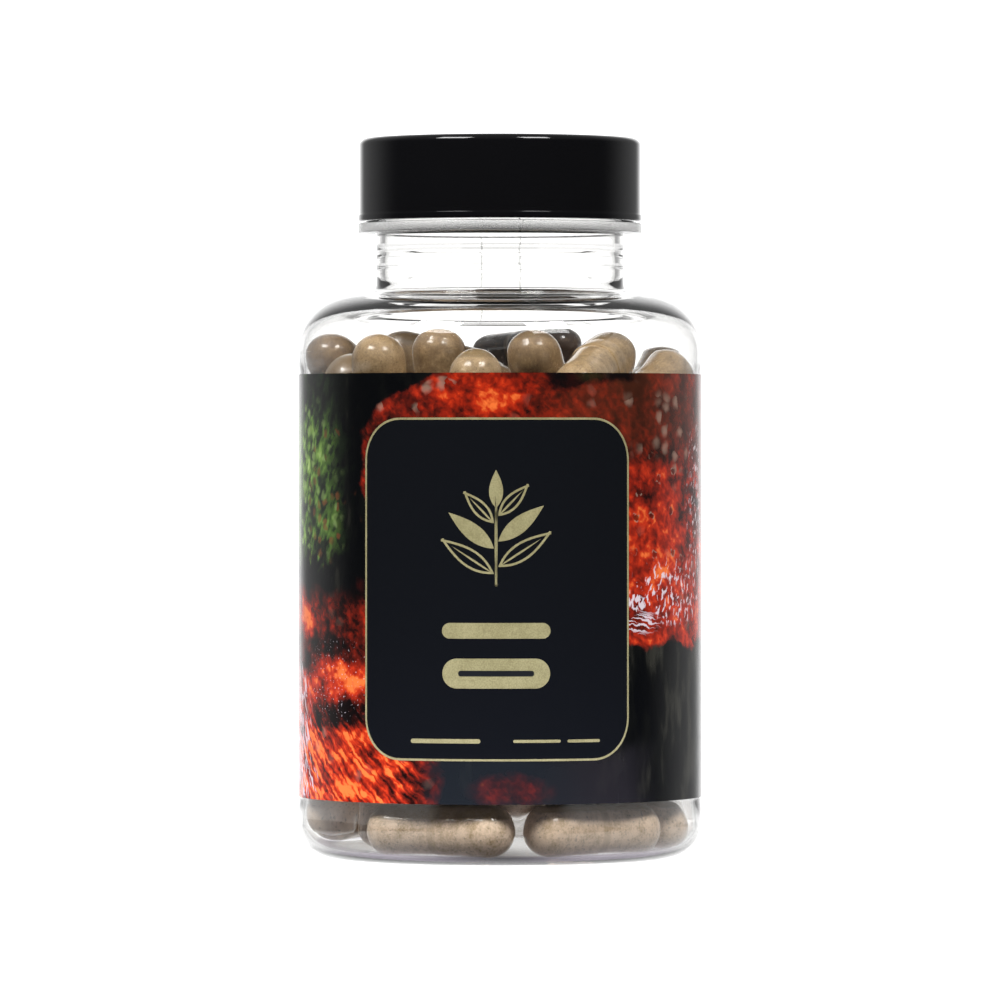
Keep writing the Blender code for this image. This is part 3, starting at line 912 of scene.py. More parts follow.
def press(item: bpy.types.Object, shape: Callable[[np.ndarray], np.ndarray]) -> None:
    """Moves every vertex as a function says, in millimetres."""
    moved = shape(corners(item.data)) * MM
    item.data.vertices.foreach_set("co", moved.ravel())
    item.data.update()


def write(mesh: bpy.types.Mesh, name: str, values: np.ndarray) -> None:
    """Stores one number or one vector for each vertex as an attribute."""
    vectors = values.ndim == 2
    attribute = mesh.attributes.new(name, "FLOAT_VECTOR" if vectors else "FLOAT", "POINT")
    attribute.data.foreach_set("vector" if vectors else "value", values.astype(np.float32).ravel())


def thicken(item: bpy.types.Object, depth: float) -> None:
    """Gives a sheet a wall of a depth in millimetres, from its face inwards."""
    wall = item.modifiers.new("wall", "SOLIDIFY")
    wall.thickness = depth * MM
    wall.offset = -1.0
    alone(item)
    bpy.ops.object.modifier_apply(modifier=wall.name)


def joined(parts: Sequence[bpy.types.Object], name: str) -> bpy.types.Object:
    """Joins parts into one object of that name."""
    alone(parts[0])
    for part in parts:
        part.select_set(True)
    bpy.ops.object.join()
    return named(name)


def shown_as(mesh: bpy.types.Mesh) -> bpy.types.Object:
    """An object of the mesh's name in the scene."""
    item = bpy.data.objects.new(mesh.name, mesh)
    bpy.context.scene.collection.objects.link(item)
    return item


def eased(share: float | np.ndarray) -> float | np.ndarray:
    """A share from 0 to 1 with a smooth start and end."""
    return share * share * (3.0 - 2.0 * share)


def grown(places: np.ndarray, radius: np.ndarray, growth: np.ndarray) -> np.ndarray:
    """Moves each place away from the axis by its growth."""
    scale = (radius + growth) / np.maximum(radius, TINY)
    return np.stack([places[:, 0] * scale, places[:, 1] * scale, places[:, 2]], axis=1)


def deliver(
    item: bpy.types.Object,
    body: str,
    material: bpy.types.Material,
    nodes: Sequence[str] = (),
) -> bpy.types.Object:
    """Dresses a finished piece and fastens it to the frame.

    Args:
        item: the piece, with its place in its mesh.
        body: the CAD body that it moves with.
        material: its finish.
        nodes: the CAD nodes that it stands for.

    Returns:
        The piece.
    """
    item.data.materials.clear()
    item.data.materials.append(material)
    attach(item, body)
    if nodes:
        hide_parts(*nodes)
    LOG.info("%s: %d faces on %s", item.name, len(item.data.polygons), body)
    return item


def ring_angle(places: np.ndarray) -> np.ndarray:
    """Angle of each place round the axis, from 0 at the front, growing to the right."""
    return np.arctan2(places[:, 0], -places[:, 1])


@dataclass(frozen=True)
class Thread:
    """One turn of a thread, which starts at +X and rises against the clock."""

    pitch: float
    start: float
    root: float
    crest: float
    fade: float = 0.07

    def shape(self, places: np.ndarray) -> np.ndarray:
        """Height of the ridge at each place, from 0 to 1."""
        turn = np.mod(np.arctan2(places[:, 1], places[:, 0]), math.tau) / math.tau
        gap = np.abs(places[:, 2] - self.start - self.pitch * turn)
        flank = np.clip((self.root / 2 - gap) / ((self.root - self.crest) / 2), 0.0, 1.0)
        ends = np.clip(np.minimum(turn, 1.0 - turn) / self.fade, 0.0, 1.0)
        return eased(flank) * np.sqrt(ends)


# The bottle


@dataclass
class Bottle:
    """The blown bottle: raised base, heel, body, shoulder, neck, bead and threaded finish."""

    radius: float = field(default_factory=lambda: round_node("bottle")[0])
    rim: float = field(default_factory=lambda: round_node("bottle")[2])
    label_low: float = field(default_factory=lambda: round_node("label")[1])
    label_high: float = field(default_factory=lambda: round_node("label")[2])
    recess: float = 0.08
    margin: float = 0.5
    heel_round: float = 5.0
    shoulder_round: float = 8.1
    shoulder_start: float = 72.6
    fillet_round: float = 1.6
    fillet_height: float = 82.5
    neck: float = 17.85
    ring_height: float = 86.9
    ring_depth: float = 0.06
    ring_half: float = 0.08
    finish: float = 17.5
    mouth: float = 16.6
    mouth_round: float = 0.2
    rim_round: float = 0.4
    bead: float = 20.4
    bead_low: float = 89.7
    bead_high: float = 91.1
    bead_round: float = 0.14
    under_bead: float = 0.3
    over_bead: float = 0.25
    wall: float = 0.8
    shoulder_top_wall: float = 1.7
    base_wall: float = 1.0
    foot: tuple[Point, ...] = (
        (16.6, 90.3),
        (16.6, 88.6),
        (16.6, 86.9),
        (16.6, 85.15),
        (16.565, 84.75),
        (16.6, 84.35),
        (16.62, 83.2),
        (16.8, 82.2),
        (17.4, 81.1),
        (18.4, 80.0),
        (19.6, 79.3),
        (20.9, 79.0),
    )
    base_rings: tuple[float, ...] = tuple(2.0 + 1.5 * ring for ring in range(13))
    ring_inner: float = 21.5
    push_up: float = 4.0
    gate_radius: float = 1.3
    gate_depth: float = 0.45
    parting: float = 9.3
    parting_height: float = 0.07
    thread: Thread = Thread(pitch=4.233, start=94.6, root=1.9, crest=0.8)
    thread_height: float = 1.15
    uneven: float = 0.05

    def floor(self, radius: float, thickness: float = 0.0) -> float:
        """Height of the raised base at a radius, or of its upper face where it has a thickness."""
        return thickness + self.push_up * eased(max(0.0, 1.0 - radius / self.ring_inner))

    def outside(self) -> list[Point]:
        """The wall's outer outline, from the middle of the base to the rim."""
        panel = self.radius - self.recess
        neck, ring = self.neck, self.neck + self.ring_depth
        bead_side = self.bead - self.bead_round
        gate = self.floor(0.0) - self.gate_depth
        points = [(0.0, gate), (0.8 * self.gate_radius, gate)]
        points += [(self.gate_radius, self.floor(self.gate_radius) - 0.05)]
        points += [(radius, self.floor(radius)) for radius in self.base_rings]
        points += [(self.ring_inner, 0.0)]
        points += arc((self.radius - self.heel_round, self.heel_round), self.heel_round, -90, 0, 18)
        points += [(self.radius, self.label_low - 2 * self.margin), (panel, self.label_low - self.margin)]
        points += rows(panel, self.label_low, self.label_high + self.margin, 4.0)
        points += [(self.radius, self.label_high + 2 * self.margin)]
        shoulder = (self.radius - self.shoulder_round, self.shoulder_start)
        points += arc(shoulder, self.shoulder_round, 0, 90, 26)
        points += arc((neck + self.fillet_round, self.fillet_height), self.fillet_round, 270, 180, 12)
        points += rows(neck, self.fillet_height + 0.7, self.ring_height - 0.3, 0.9)
        points += [(ring, self.ring_height - self.ring_half), (ring, self.ring_height + self.ring_half)]
        points += rows(neck, self.ring_height + 0.3, self.bead_low - 0.5, 0.9)
        points += arc((neck + self.under_bead, self.bead_low - self.under_bead), self.under_bead, 180, 90, 4)
        points += arc((bead_side, self.bead_low + self.bead_round), self.bead_round, -90, 0, 4)
        points += arc((bead_side, self.bead_high - self.bead_round), self.bead_round, 0, 90, 4)
        over = (self.finish + self.over_bead, self.bead_high + self.over_bead)
        points += arc(over, self.over_bead, 270, 180, 4)
        points += rows(self.finish, self.bead_high + 0.5, self.rim - 0.6, 0.16)
        edge = (self.finish - self.rim_round, self.rim - self.rim_round)
        return points + arc(edge, self.rim_round, 0, 90, 5)

    def inside(self) -> list[Point]:
        """The wall's inner outline, from the rim to the middle of the base."""
        edge = (self.mouth + self.mouth_round, self.rim - self.mouth_round)
        points = arc(edge, self.mouth_round, 90, 180, 4)
        points += rows(self.mouth, self.rim - 1.2, self.bead_high, 1.6)
        points += curve(self.foot, 6)
        extra = self.shoulder_top_wall - self.wall
        for step in range(1, 25):
            angle = math.radians(90.0 - 90.0 * step / 24)
            share = angle / (math.pi / 2)
            reach = self.shoulder_round - (self.wall + extra * share * share)
            middle = self.radius - self.shoulder_round
            points.append((middle + reach * math.cos(angle), self.shoulder_start + reach * math.sin(angle)))
        points += rows(self.radius - self.wall, self.shoulder_start - 2.0, self.heel_round + 1.5, 4.0)
        extra = self.base_wall - self.wall
        for step in range(17):
            share = step / 16
            angle = -math.pi / 2 * share
            reach = self.heel_round - self.wall - extra * share * share
            middle = self.radius - self.heel_round
            points.append((middle + reach * math.cos(angle), self.heel_round + reach * math.sin(angle)))
        for radius in (self.ring_inner, *reversed(self.base_rings), 0.0):
            points.append((radius, self.floor(radius, self.base_wall)))
        return points

    def worked(self, places: np.ndarray) -> np.ndarray:
        """Adds the thread, the mould's parting line and the blown inside's unevenness to the turned wall."""
        radius = np.hypot(places[:, 0], places[:, 1])
        height = places[:, 2]
        angle = ring_angle(places)
        finish = (radius > self.finish - 0.05) & (height > self.bead_high + 0.4) & (height < self.rim - 0.5)
        ridge = np.where(finish, self.thread_height * self.thread.shape(places), 0.0)
        from_line = np.abs(np.mod(angle - math.radians(self.parting) + math.pi / 2, math.pi) - math.pi / 2)
        parted = (from_line < math.pi / TURNS) & (radius > self.neck - 0.02) & (radius <= self.bead - 0.2)
        parted &= (height > self.label_high + 1.5) & (height < self.bead_high)
        line = np.where(parted, self.parting_height, 0.0)
        blown = (radius > 10.0) & (radius < self.radius - self.wall + 0.01)
        blown &= (height > self.heel_round) & (height < self.shoulder_start)
        sway = np.sin(3.0 * angle + 0.09 * height) + np.sin(5.0 * angle - 0.05 * height + 1.0)
        sway += np.sin(2.0 * angle + 0.21 * height + 2.0)
        swell = np.where(blown, -self.uneven * (1.0 + sway / 3.0), 0.0)
        return grown(places, radius, ridge + line + swell)

    def build(self) -> bpy.types.Object:
        """Builds the bottle."""
        item = lathe("clear_bottle", self.outside() + self.inside())
        press(item, self.worked)
        smooth(item, 40.0)
        item.visible_shadow = False
        return deliver(item, "bottle", ClearPlastic().material(), ["bottle"])


# The cap


@dataclass
class Cap:
    """The screw cap with its lip, inner thread and foam liner."""

    lip_radius: float = field(default_factory=lambda: round_node("cap")[0])
    low: float = field(default_factory=lambda: round_node("cap")[1])
    top: float = field(default_factory=lambda: round_node("cap")[2])
    step: float = 0.15
    lip_height: float = 0.9
    edge: float = 1.0
    recess: float = 0.18
    recess_radius: float = 17.6
    recess_round: float = 0.3
    rise_round: float = 0.2
    lip_round: float = 0.2
    bore: float = 19.15
    bore_round: float = 0.3
    top_wall: float = 1.3
    ceiling_round: float = 0.4
    middle: float = 9.0
    thread: Thread = Thread(pitch=4.233, start=92.65, root=1.5, crest=0.7)
    thread_depth: float = 1.2
    liner_round: float = 0.12
    liner_turns: int = 128

    def outline(self) -> list[Point]:
        """The cap's outline, out over the top, down the outside and up the bore."""
        side = self.lip_radius - self.step
        lip = self.low + self.lip_height
        ceiling = self.top - self.top_wall
        hollow = self.top - self.recess
        points = [(0.0, hollow), (self.middle, hollow)]
        recess = (self.recess_radius - self.recess_round, hollow + self.recess_round)
        points += arc(recess, self.recess_round, -90, -30, 3)
        points += arc((self.recess_radius + 0.4, self.top - self.rise_round), self.rise_round, 150, 90, 3)
        points += arc((side - self.edge, self.top - self.edge), self.edge, 90, 0, 14)
        points += rows(side, self.top - self.edge - 0.6, lip + 0.35, 1.5)
        points += arc((side + 0.04, lip + 0.04), 0.04, 180, 270, 2)
        points += arc((self.lip_radius - 0.06, lip - 0.06), 0.06, 90, 0, 2)
        edge = (self.lip_radius - self.lip_round, self.low + self.lip_round)
        points += arc(edge, self.lip_round, 0, -90, 4)
        points += arc((self.bore + self.bore_round, self.low + self.bore_round), self.bore_round, 270, 180, 4)
        points += rows(self.bore, self.low + 0.5, ceiling - 0.6, 0.16)
        corner = (self.bore - self.ceiling_round, ceiling - self.ceiling_round)
        points += arc(corner, self.ceiling_round, 0, 90, 4)
        return points + [(self.middle, ceiling), (0.0, ceiling)]

    def worked(self, places: np.ndarray) -> np.ndarray:
        """Adds the inner thread to the turned bore."""
        radius = np.hypot(places[:, 0], places[:, 1])
        height = places[:, 2]
        wall = (np.abs(radius - self.bore) < 0.02) & (height > self.low + 0.4)
        wall &= height < self.top - self.top_wall
        ridge = np.where(wall, self.thread_depth * self.thread.shape(places), 0.0)
        return grown(places, radius, -ridge)

    def build_liner(self) -> bpy.types.Object:
        """Builds the foam disc in the cap's top."""
        radius, low, high = round_node("cap_liner")
        soft = self.liner_round
        disc = [(0.0, low), *arc((radius - soft, low + soft), soft, -90, 0, 3)]
        disc += [*arc((radius - soft, high - soft), soft, 0, 90, 3), (0.0, high)]
        liner = lathe("foam_liner", disc, self.liner_turns)
        smooth(liner)
        return deliver(liner, "cap_carrier", Foam().material(), ["cap_liner"])

    def build(self) -> list[bpy.types.Object]:
        """Builds the cap and its liner."""
        shell = lathe("screw_cap", self.outline())
        press(shell, self.worked)
        smooth(shell, 32.0)
        deliver(shell, "cap", BlackPlastic().material(), ["cap"])
        return [shell, self.build_liner()]


# The label


@dataclass
class Label:
    """The printed film, wrapped round the body with a lap, and the gold ink on it."""

    outer: float = field(default_factory=lambda: round_node("label")[0])
    low: float = field(default_factory=lambda: round_node("label")[1])
    high: float = field(default_factory=lambda: round_node("label")[2])
    film: float = 0.04
    lap: float = 7.0
    lap_start: float = -58.0
    lap_climb: float = 1.5
    columns: int = 380
    layers: int = 12
    ink: float = 0.012
    outline_width: float = 0.30
    slice_step: float = 0.8
    pill: tuple[float, float, float] = (27.2, 15.3, 4.2)
    front_bars: tuple[tuple[float, float, float, float], ...] = (
        (-7.7, 7.7, 33.2, 2.2),
        (-12.4, -2.2, 17.7, 0.62),
        (2.4, 9.2, 17.7, 0.42),
        (10.2, 15.2, 17.7, 0.42),
    )
    back_lines: int = 7
    back_top: float = 52.0
    back_gap: float = 4.4
    back_half: float = 15.0
    back_short: tuple[int, int] = (2, 6)
    back_width: float = 0.30
    sprig: Point = (39.4, 55.6)
    stem_width: float = 0.42
    stem_rest: float = 3.6
    tip_leaf: tuple[float, float, float] = (5.2, 5.4, 2.3)
    leaf_levels: tuple[tuple[float, float, float], ...] = (
        (0.14, 9.0, 33.0),
        (0.36, 8.2, 38.0),
        (0.58, 6.2, 46.0),
    )
    leaf_rim: float = 0.32
    vein_width: float = 0.34

    @property
    def radius(self) -> float:
        """Radius of the film's outer face away from the lap."""
        return self.outer - self.film - 0.002

    def wrap(self, flat: np.ndarray, lift: float) -> np.ndarray:
        """Bends a flat sheet round the body.

        Args:
            flat: places of arc length, height and thickness.
            lift: how far the sheet's zero thickness lies past the film's radius.

        Returns:
            The places round the axis.
        """
        end = self.lap_start + math.tau * self.radius
        climb = np.clip((flat[:, 0] - (end - self.lap_climb)) / self.lap_climb, 0.0, 1.0)
        radius = self.radius + lift + flat[:, 2] + self.film * eased(climb)
        angle = flat[:, 0] / self.radius
        return np.stack([radius * np.sin(angle), -radius * np.cos(angle), flat[:, 1]], axis=1)

    def bent(self, item: bpy.types.Object, lift: float, depth: float) -> None:
        """Keeps a flat sheet's places as an attribute, bends it round the body and gives it its thickness."""
        write(item.data, "sheet_place", corners(item.data))
        press(item, lambda places: self.wrap(places, lift))
        thicken(item, depth)

    def build_film(self) -> bpy.types.Object:
        """Builds the film from a flat grid."""
        length = math.tau * self.radius + self.lap
        tall = self.high - self.low
        bpy.ops.object.select_all(action="DESELECT")
        bpy.ops.mesh.primitive_grid_add(x_subdivisions=self.columns, y_subdivisions=self.layers, size=MM)
        item = named("label_film")
        with editing(item):
            bpy.ops.transform.resize(value=(length, tall, 1.0))
            middle = ((self.lap_start + length / 2) * MM, (self.low + self.high) / 2 * MM, 0.0)
            bpy.ops.transform.translate(value=middle)
        self.bent(item, 0.0, self.film)
        smooth(item, 50.0)
        return deliver(item, "bottle", PrintedFilm().material(), ["label"])

    def build_ink(self) -> bpy.types.Object:
        """Builds the gold ink: the panels' outlines, a plain pill, bars and a sprig of leaves."""
        prints = PrintedFilm()
        front, back = prints.panel_middles
        parts = [self._outline(middle, prints) for middle in prints.panel_middles]
        parts.append(self._pill(front, *self.pill))
        for left, right, height, width in self.front_bars:
            parts.append(self._bar(front + left, front + right, height, width))
        for line in range(self.back_lines):
            short = 8.0 if line in self.back_short else 0.0
            right = back + self.back_half - short
            height = self.back_top - self.back_gap * line
            parts.append(self._bar(back - self.back_half, right, height, self.back_width))
        item = joined(parts + self._sprig(front, *self.sprig), "label_gold_ink")
        with editing(item):
            bpy.ops.mesh.normals_make_consistent(inside=False)
        self._slice(item, prints)
        self.bent(item, self.ink, self.ink)
        with editing(item):
            bpy.ops.mesh.normals_make_consistent(inside=False)
        smooth(item, 50.0)
        return deliver(item, "bottle", GoldInk().material())

    def _slice(self, item: bpy.types.Object, prints: PrintedFilm) -> None:
        """Cuts the flat ink across at even steps, so that it can bend round the body."""
        half = prints.panel_half[0] + 0.5
        for middle in prints.panel_middles:
            for index in range(int(2 * half / self.slice_step) + 1):
                place = (middle - half + self.slice_step * index) * MM
                with editing(item):
                    bpy.ops.mesh.bisect(plane_co=(place, 0.0, 0.0), plane_no=Axis.X.value)

    def _flat(self, name: str, along: float, height: float, wide: float, tall: float) -> bpy.types.Object:
        """Adds a flat rectangle on the sheet."""
        bpy.ops.object.select_all(action="DESELECT")
        bpy.ops.mesh.primitive_plane_add(size=MM)
        item = named(name)
        with editing(item):
            bpy.ops.transform.resize(value=(wide, tall, 1.0))
            bpy.ops.transform.translate(value=(along * MM, height * MM, 0.0))
        return item

    def _hollowed(self, item: bpy.types.Object, width: float) -> None:
        """Leaves only a rim of a flat shape."""
        with editing(item):
            bpy.ops.mesh.inset(thickness=width * MM, depth=0.0)
            bpy.ops.mesh.delete(type="FACE")

    def _outline(self, middle: float, prints: PrintedFilm) -> bpy.types.Object:
        """A thin round-cornered frame."""
        half_wide, half_tall = prints.panel_half
        item = self._flat("frame", middle, prints.panel_height, 2 * half_wide, 2 * half_tall)
        with editing(item):
            bpy.ops.mesh.bevel(offset=prints.panel_round * MM, segments=20, affect="VERTICES")
        self._hollowed(item, self.outline_width)
        return item

    def _pill(self, along: float, height: float, wide: float, tall: float) -> bpy.types.Object:
        """A bar with round ends, by its middle and size."""
        item = self._flat("bar", along, height, wide, tall)
        with editing(item):
            bpy.ops.mesh.bevel(offset=0.499 * tall * MM, segments=12 if tall > 1.0 else 4, affect="VERTICES")
        return item

    def _bar(self, left: float, right: float, height: float, width: float) -> bpy.types.Object:
        """A bar with round ends, by its ends."""
        return self._pill((left + right) / 2, height, right - left, width)

    def _leaf(
        self, along: float, height: float, length: float, width: float, lean: float
    ) -> bpy.types.Object:
        """A pointed leaf, its stalk end at a place and its tip along a direction.

        Args:
            along: arc length of its stalk end.
            height: height of its stalk end.
            length: its length.
            width: its width.
            lean: its direction, in degrees from the right.

        Returns:
            The flat leaf.
        """
        bpy.ops.object.select_all(action="DESELECT")
        bpy.ops.mesh.primitive_circle_add(vertices=36, radius=MM, fill_type="NGON")
        item = named("leaf")
        angle = math.radians(lean)

        def pointed(places: np.ndarray) -> np.ndarray:
            """Draws the circle out to the leaf."""
            share = places[:, 0]
            side = np.sign(places[:, 1]) * (1.0 - share * share) * (0.85 - 0.25 * share)
            forward = (share + 1.0) * length / 2
            across = side * width / 2
            x = along + forward * math.cos(angle) - across * math.sin(angle)
            y = height + forward * math.sin(angle) + across * math.cos(angle)
            return np.stack([x, y, places[:, 2]], axis=1)

        press(item, pointed)
        return item

    def _sprig(self, along: float, low: float, high: float) -> list[bpy.types.Object]:
        """An upright stem with pairs of leaves that get smaller towards its tip.

        Args:
            along: the stem's arc length.
            low: height of the stem's foot.
            high: height of the top leaf's tip.

        Returns:
            The stem, the leaves and their veins.
        """
        stem = high - low - self.stem_rest
        parts = [self._pill(along, (low + high - self.stem_rest) / 2, self.stem_width, stem)]
        down, length, width = self.tip_leaf
        parts.append(self._leaf(along, high - down, length, width, 90.0))
        for level, (share, length, lean) in enumerate(self.leaf_levels):
            for side in (1.0, -1.0):
                direction = 90.0 - side * (90.0 - lean)
                root = along + 0.3 * side
                base = low + share * (high - low) + 0.5 * side
                leaf = self._leaf(root, base, length, 3.0 - 0.3 * level, direction)
                if level != 1:
                    self._hollowed(leaf, self.leaf_rim)
                    parts.append(self._leaf(root, base, 0.8 * length, self.vein_width, direction))
                parts.append(leaf)
        return parts

    def build(self) -> list[bpy.types.Object]:
        """Builds the film and its ink."""
        return [self.build_film(), self.build_ink()]


# The capsules


@dataclass(frozen=True)
class Placement:
    """Where a capsule lies: its middle and its direction from body to cap."""

    middle: np.ndarray
    axis: np.ndarray


@dataclass
class CapsuleShape:
    """A two-part hard shell along Z, centred on the origin, with its cap upwards."""

    length: float = 21.7
    cap_radius: float = 3.79
    body_radius: float = 3.66
    cap_length: float = 10.8
    groove: float = 3.2
    groove_depth: float = 0.06

    @property
    def half(self) -> float:
        """Distance from the middle to the centre of a round end."""
        return self.length / 2 - self.cap_radius

    def outline(self, steps: int) -> list[Point]:
        """The shell's outline from its cap's tip to its body's tip."""
        edge = self.length / 2 - self.cap_length
        body_end = -self.length / 2 + self.body_radius
        radius = self.cap_radius
        points = arc((0.0, self.half), radius, 90, 0, steps)
        for offset, depth in ((0.55, 0.0), (0.3, 0.5), (0.0, 1.0), (-0.3, 0.5), (-0.55, 0.0)):
            points.append((radius - self.groove_depth * depth, edge + self.groove + offset))
        points += [(radius, edge + 1.2), (radius, edge + 0.12), (radius - 0.03, edge + 0.03)]
        points += [(self.body_radius + 0.03, edge), (self.body_radius, edge - 0.05)]
        points += rows(self.body_radius, edge - 1.2, body_end + 1.0, 2.2)
        points += arc((0.0, body_end), self.body_radius, 0, -90, steps)
        points[0] = (0.0, self.length / 2)
        points[-1] = (0.0, -self.length / 2)
        return points

    def mesh(self, name: str, sides: int, steps: int) -> bpy.types.Mesh:
        """Models one shell and keeps its mesh, with each vertex's place along the shell."""
        item = lathe(name, self.outline(steps), sides)
        smooth(item, 28.0)
        mesh = item.data
        write(mesh, "along", corners(mesh)[:, 2] / (self.length / 2))
        bpy.data.objects.remove(item)
        return mesh


class Packing:
    """Rods with round ends, moved apart inside the bottle for a set number of rounds."""

    clearance: float = 0.2
    leverage: float = 1.2
    wall_push: float = 0.5
    crowding: float = 0.45
    nothing: float = 1e-9

    def __init__(self, shape: CapsuleShape, bottle: Bottle, held: Sequence[Placement]) -> None:
        """Starts from the capsules that are held where they are."""
        self.half = shape.half
        self.bottle = bottle
        self.centres = np.array([placement.middle for placement in held])
        self.axes = np.array([placement.axis for placement in held])
        self.loose = np.zeros(len(held))

    def pour(self, count: int, low: float, high: float, spread: float, seed: int) -> None:
        """Adds loose rods at seeded places, more lying than standing.

        Args:
            count: how many.
            low: the lowest one's height.
            high: the highest one's height.
            spread: the farthest that one starts from the axis.
            seed: seed of the places.
        """
        random = np.random.RandomState(seed)
        for number in range(count):
            angle, share = random.random_sample(2)
            reach = spread * math.sqrt(share)
            height = low + (high - low) * (number + 0.5) / count
            middle = (reach * math.cos(math.tau * angle), reach * math.sin(math.tau * angle), height)
            axis = 2.0 * random.random_sample(3) - 1.0
            axis[2] *= 0.5
            self.centres = np.vstack([self.centres, middle])
            self.axes = np.vstack([self.axes, axis / np.sqrt((axis * axis).sum())])
            self.loose = np.append(self.loose, 1.0)

    def settle(self, rounds: int, reach: float, low: float, high: float) -> None:
        """Moves the loose rods apart, and keeps them inside the wall and between two heights.

        Args:
            rounds: how many small moves.
            reach: the rods' radius.
            low: height of the lowest place that a rod may touch.
            high: height of the highest one.
        """
        bore = self.bottle.radius - self.bottle.wall - self.clearance
        lever = self.leverage / (self.half * self.half)
        one, two = np.triu_indices(len(self.centres), 1)
        free = (self.loose[one] + self.loose[two]) > 0.0
        one, two = one[free], two[free]
        both = self.loose[one] + self.loose[two]
        for _ in range(rounds):
            along_one, along_two, push, depth = self._gaps(one, two, reach)
            shift = np.zeros_like(self.centres)
            turn = np.zeros_like(self.axes)
            met = np.zeros(len(self.centres))
            for index, share, along in (
                (one, self.loose[one] / both, along_one),
                (two, -self.loose[two] / both, along_two),
            ):
                step = push * (depth * share)[:, None]
                np.add.at(shift, index, step)
                np.add.at(turn, index, step * (along * lever)[:, None])
                np.add.at(met, index, depth > 0.0)
            for spot in (-1.0, 0.0, 1.0):
                points = self.centres + self.axes * (spot * self.half)
                radius = np.hypot(points[:, 0], points[:, 1]) + self.nothing
                inward = np.minimum(0.0, bore - reach - radius) / radius
                lift = np.maximum(0.0, low + reach - points[:, 2])
                lift = lift + np.minimum(0.0, high - reach - points[:, 2])
                wall = self.wall_push * np.stack([points[:, 0] * inward, points[:, 1] * inward, lift], axis=1)
                shift += wall
                turn += wall * (spot / self.half)
            ease = self.loose / np.maximum(1.0, met * self.crowding)
            self.centres += shift * ease[:, None]
            self.axes += turn * ease[:, None]
            self.axes /= np.sqrt((self.axes * self.axes).sum(axis=1))[:, None]

    def _gaps(self, one: np.ndarray, two: np.ndarray, reach: float) -> tuple[np.ndarray, ...]:
        """For pairs of rods: the nearest places along each, the push's direction and the overlap."""
        apart = self.centres[one] - self.centres[two]
        cosine = (self.axes[one] * self.axes[two]).sum(axis=1)
        on_one = (self.axes[one] * apart).sum(axis=1)
        on_two = (self.axes[two] * apart).sum(axis=1)
        spread = np.maximum(1.0 - cosine * cosine, TINY)
        along_one = np.clip((cosine * on_two - on_one) / spread, -self.half, self.half)
        along_two = np.clip(along_one * cosine + on_two, -self.half, self.half)
        along_one = np.clip(along_two * cosine - on_one, -self.half, self.half)
        along_two = np.clip(along_one * cosine + on_two, -self.half, self.half)
        gap = apart + self.axes[one] * along_one[:, None] - self.axes[two] * along_two[:, None]
        length = np.sqrt((gap * gap).sum(axis=1)) + self.nothing
        depth = np.maximum(0.0, 2.0 * reach - length)
        return along_one, along_two, gap / length[:, None], depth

    def placements(self) -> list[Placement]:
        """The loose rods' places."""
        free = np.flatnonzero(self.loose > 0.0)
        return [Placement(self.centres[index], self.axes[index]) for index in free]


